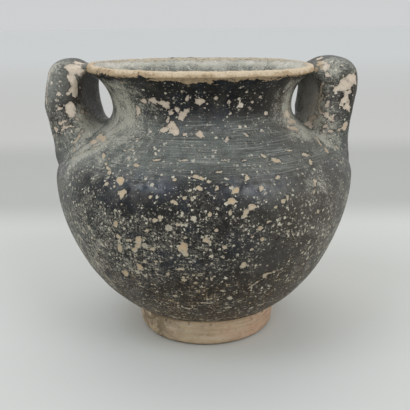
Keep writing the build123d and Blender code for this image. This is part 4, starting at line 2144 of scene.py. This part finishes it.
LEFT_CHIPS = chips_at(
    (0.627, 194, 3, 2.2, -81), (0.165, 178, 3, 2.4, 60), (0.225, 196, 3.2, 2.1, 80),
    (0.325, 210, 2.9, 1.7, -84), (0.11, 190, 3.4, 2.2, -50), (0.082, 214, 2, 1.2, -20),
    (0.245, 271, 1.6, 0.7, -36), (0.691, 262, 2, 0.5, -11), (0.8, 142, 1.7, 0.6, 22),
    (0.1, 95, 4.5, 2.4, 1), (0.09, 140, 4.2, 2.2, 14), (0.13, 165, 2.6, 2, 60),
    (0.455, 180, 1, 0.9, 65), (0.427, 190, 0.9, 0.8, 36), (0.609, 180, 0.7, 0.7, 22),
    (0.518, 180, 0.6, 0.5, 24), (0.336, 180, 1, 0.4, 1), (0.382, 180, 0.6, 0.6, 30),
    (0.33, 140, 2.8, 1, 80), (0.43, 138, 2.2, 0.8, 85), (0.52, 142, 3.4, 0.9, 88),
    (0.655, 184, 1, 0.6, 82), (0.745, 175, 2.6, 0.45, 24), (0.764, 161, 1.6, 0.5, -57),
    (0.791, 175, 1.7, 0.4, 46), (0.782, 182, 1.6, 0.4, -9), (0.764, 209, 1.6, 0.5, -34),
    (0.873, 192, 2.2, 0.45, 56), (0.7, 242, 2.6, 1, -17), (0.955, 182, 1.8, 0.4, -57),
)
RIGHT_CHIPS = chips_at(
    (0.409, 176, 4.2, 1.9, -10), (0.4, 160, 2.6, 2, -10), (0.42, 183, 2.2, 1.2, 6),
    (0.5, 170, 1.6, 0.9, -7), (0.564, 176, 2.3, 1.8, 58), (0.627, 166, 3.1, 1.7, -60),
    (0.564, 173, 1.3, 0.9, -4), (0.773, 158, 2.5, 1.4, 62), (0.075, 140, 4.4, 1.8, -40),
    (0.13, 172, 3.2, 1.5, -70), (0.2, 187, 1.2, 1, -35), (0.1, 89, 4.4, 1.8, -8),
    (0.245, 161, 0.8, 0.7, 22), (0.382, 150, 1.6, 0.9, 65), (0.382, 235, 2.6, 0.5, 63),
    (0.545, 236, 2.3, 0.7, 52), (0.755, 218, 2.9, 1.2, -15), (0.636, 204, 1.4, 0.9, 40),
    (0.773, 182, 1.7, 0.7, -66), (0.809, 175, 1.2, 0.6, 35), (0.836, 182, 1.3, 0.5, -3),
    (0.527, 240, 2.8, 0.45, -79), (0.836, 247, 2.6, 1.2, 22), (0.9, 240, 3, 1.5, -8),
    (0.482, 204, 0.9, 0.5, 2), (0.591, 199, 0.9, 0.6, 88), (0.764, 187, 1, 0.7, -11),
    (0.836, 199, 1.4, 0.8, 32), (0.927, 173, 1.7, 0.4, -52),
)
WALL_PATCHES = {
    Reading.FLAKE: patches_at(
        (-28, 50, 24, 0.7), (-8, 60, 20, 0.45), (14, 66, 14, 0.4), (20, 45, 26, 0.45),
        (38, 62, 14, 0.35), (-48, 58, 16, 0.5), (-60, 45, 24, 0.45), (62, 48, 24, 0.4),
        (-35, 95, 16, 0.35), (20, 98, 16, 0.28), (105, 52, 34, 0.6), (150, 60, 34, 0.55),
        (-150, 48, 36, 0.65), (-105, 58, 30, 0.5), (180, 96, 26, 0.35),
    ),
    Reading.BLOOM: patches_at(
        (-70, 60, 22, 0.55), (70, 62, 26, 0.65), (42, 70, 10, 0.45), (25, 74, 9, 0.45),
        (-60, 76, 12, 0.4), (30, 60, 16, 0.12), (55, 45, 18, 0.5), (24, 47, 9, 0.15),
        (-54, 96, 14, 0.5), (56, 96, 10, 0.3), (130, 64, 26, 0.45), (-140, 66, 26, 0.4),
    ),
    Reading.BROWN: patches_at(
        (44, 58, 26, 0.85), (60, 88, 10, 0.6), (56, 100, 10, 0.6), (-60, 88, 8, 0.4),
        (160, 50, 30, 0.4),
    ),
    Reading.DUST: patches_at(
        (-56, 98, 13, 0.55), (-44, 92, 8, 0.35), (-80, 98, 14, 0.45), (60, 98, 9, 0.45),
        (80, 98, 14, 0.55), (-48, 103, 6, 0.45), (56, 104.5, 4, 0.4), (64, 87, 8.5, 1),
        (-64, 85, 7, 0.8), (-67, 78.6, 3.2, 0.7), (-62.5, 80.8, 3.2, 0.7), (-57.5, 83.2, 3.2, 0.7),
        (-62, 46, 26, 0.45), (66, 46, 26, 0.36), (-28, 50, 14, 0.28), (-66, 78, 9, 0.45),
        # (-62, 46) and (66, 46) are partly dust and partly a painted pale reflection where the
        # belly turns away at either side
        (-38, 84, 14, 0.24), (-50, 84, 9, 0.3), (44, 72, 6, 0.4), (150, 98, 18, 0.5),
        (-130, 46, 24, 0.35),
    ),
    # Where the slip kept its polish; a bluish highlight is painted there too
    Reading.SHEEN: patches_at(
        (-31, 75.2, 5, 0.6), (-25, 75.4, 5.5, 0.9), (-18, 75.6, 5, 0.8), (-11, 75.6, 4.5, 0.4),
        (10, 74.2, 5, 0.5), (17, 74.2, 5.5, 0.9), (24, 74.5, 5.5, 0.9), (31, 74.8, 4.5, 0.5),
        (8, 90, 8, 0.45), (-6, 90, 8, 0.35), (160, 74, 14, 0.7),
    ),
}
HANDLE_FLAKES = patches_at(
    (0.3, 160, 18, 0.22), (0.85, 180, 16, 0.35), (0.5, 20, 22, 0.35),
)
LEFT_PATCHES = {
    Reading.FLAKE: HANDLE_FLAKES,
    Reading.BLOOM: patches_at(
        (0.16, 120, 12, 1), (0.41, 170, 5.5, 1.45), (0.62, 110, 7, 0.4), (0.92, 170, 10, 0.95),
        (0.6, 20, 16, 0.5),
    ),
    Reading.BROWN: patches_at(
        (0.2, 250, 9, 0.9), (0.45, 270, 12, 0.6), (0.7, 160, 7, 0.4),
    ),
    Reading.DUST: patches_at(
        (0.78, 240, 6, 0.9), (0.86, 205, 8, 0.5), (0.3, 138, 3.5, 0.9), (0.4, 136, 3.5, 0.9),
        (0.5, 136, 3.5, 0.9), (0.97, 170, 4, 0.35), (0.97, 200, 4, 0.35), (0.4, 300, 5, 0.55),
        (0.62, 300, 5, 0.55), (0.86, 250, 6.5, 0.85), (0.1, 160, 5, 0.6), (0.75, 130, 8, 0.45),
        (0.35, 100, 8, 0.35),
    ),
    Reading.SHEEN: patches_at(
        (0.38, 152, 5.5, 1), (0.62, 172, 3.5, 0.5),
    ),
}
RIGHT_PATCHES = {
    Reading.FLAKE: HANDLE_FLAKES,
    Reading.BLOOM: patches_at(
        (0.22, 130, 10, 1), (0.55, 230, 5, 0.3), (0.92, 180, 9.5, 1), (0.6, 20, 16, 0.5),
    ),
    Reading.BROWN: patches_at(
        (0.3, 270, 12, 0.7), (0.75, 235, 8, 0.8), (0.45, 150, 9, 0.4),
    ),
    # The patches round 270 degrees, past 1, paint light onto the strap's shaded inner face
    Reading.DUST: patches_at(
        (0.8, 240, 6, 0.95), (0.3, 276, 8, 0.6), (0.5, 270, 8, 1.05), (0.7, 268, 8, 1.45),
        (0.6, 300, 8, 0.5), (0.4, 235, 4, 0.35), (0.22, 160, 7, 0.42), (0.12, 175, 6, 0.75),
        (0.92, 190, 6, 0.42), (0.95, 200, 6, 0.4),
    ),
    Reading.SHEEN: patches_at(
        (0.5, 196, 4, 0.6), (0.69, 186, 4, 0.7),
    ),
}

WALL_WEAR = Wear(NECK_CHIPS + SHOULDER_CHIPS + BELLY_CHIPS + BEHIND.chips(), WALL_PATCHES)
RIGHT_WEAR = Wear(RIGHT_CHIPS + BEHIND_RIGHT.chips(), RIGHT_PATCHES)
LEFT_WEAR = Wear(LEFT_CHIPS + BEHIND_LEFT.chips(), LEFT_PATCHES)


def main() -> None:
    """Build the jar piece by piece, then its studio and camera."""
    logging.basicConfig(level=logging.INFO, format="%(name)s %(message)s")
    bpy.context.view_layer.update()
    slip = WornSlip(Bench(bpy.data.materials.new("worn_black_slip"))).material()
    clay = BareClay(Bench(bpy.data.materials.new("bare_turned_clay"))).material()
    right = StrapHandle(
        Side.RIGHT,
        RIGHT_INSIDE,
        RIGHT_OUTSIDE,
        RIGHT_WEAR,
        turned_in=0.25,
        root_fullness=1.0,
        # Crust past 1 paints light onto the strap's shaded inner face
        thickest_crust_and_painted_light=1.6,
    )
    left = StrapHandle(
        Side.LEFT, LEFT_INSIDE, LEFT_OUTSIDE, LEFT_WEAR, turned_in=0.10, root_fullness=1.9
    )
    wall, foot = ThrownWall(WALL_WEAR), FootRing()
    for part, finish in ((wall, slip), (right, slip), (left, slip), (foot, clay)):
        for piece in part.build(finish):
            log.info("placed %s", piece.name)
    Studio().build()
    Viewpoint().build()
    bpy.context.scene.view_settings.view_transform = "Standard"


if __name__ == "__main__":
    main()
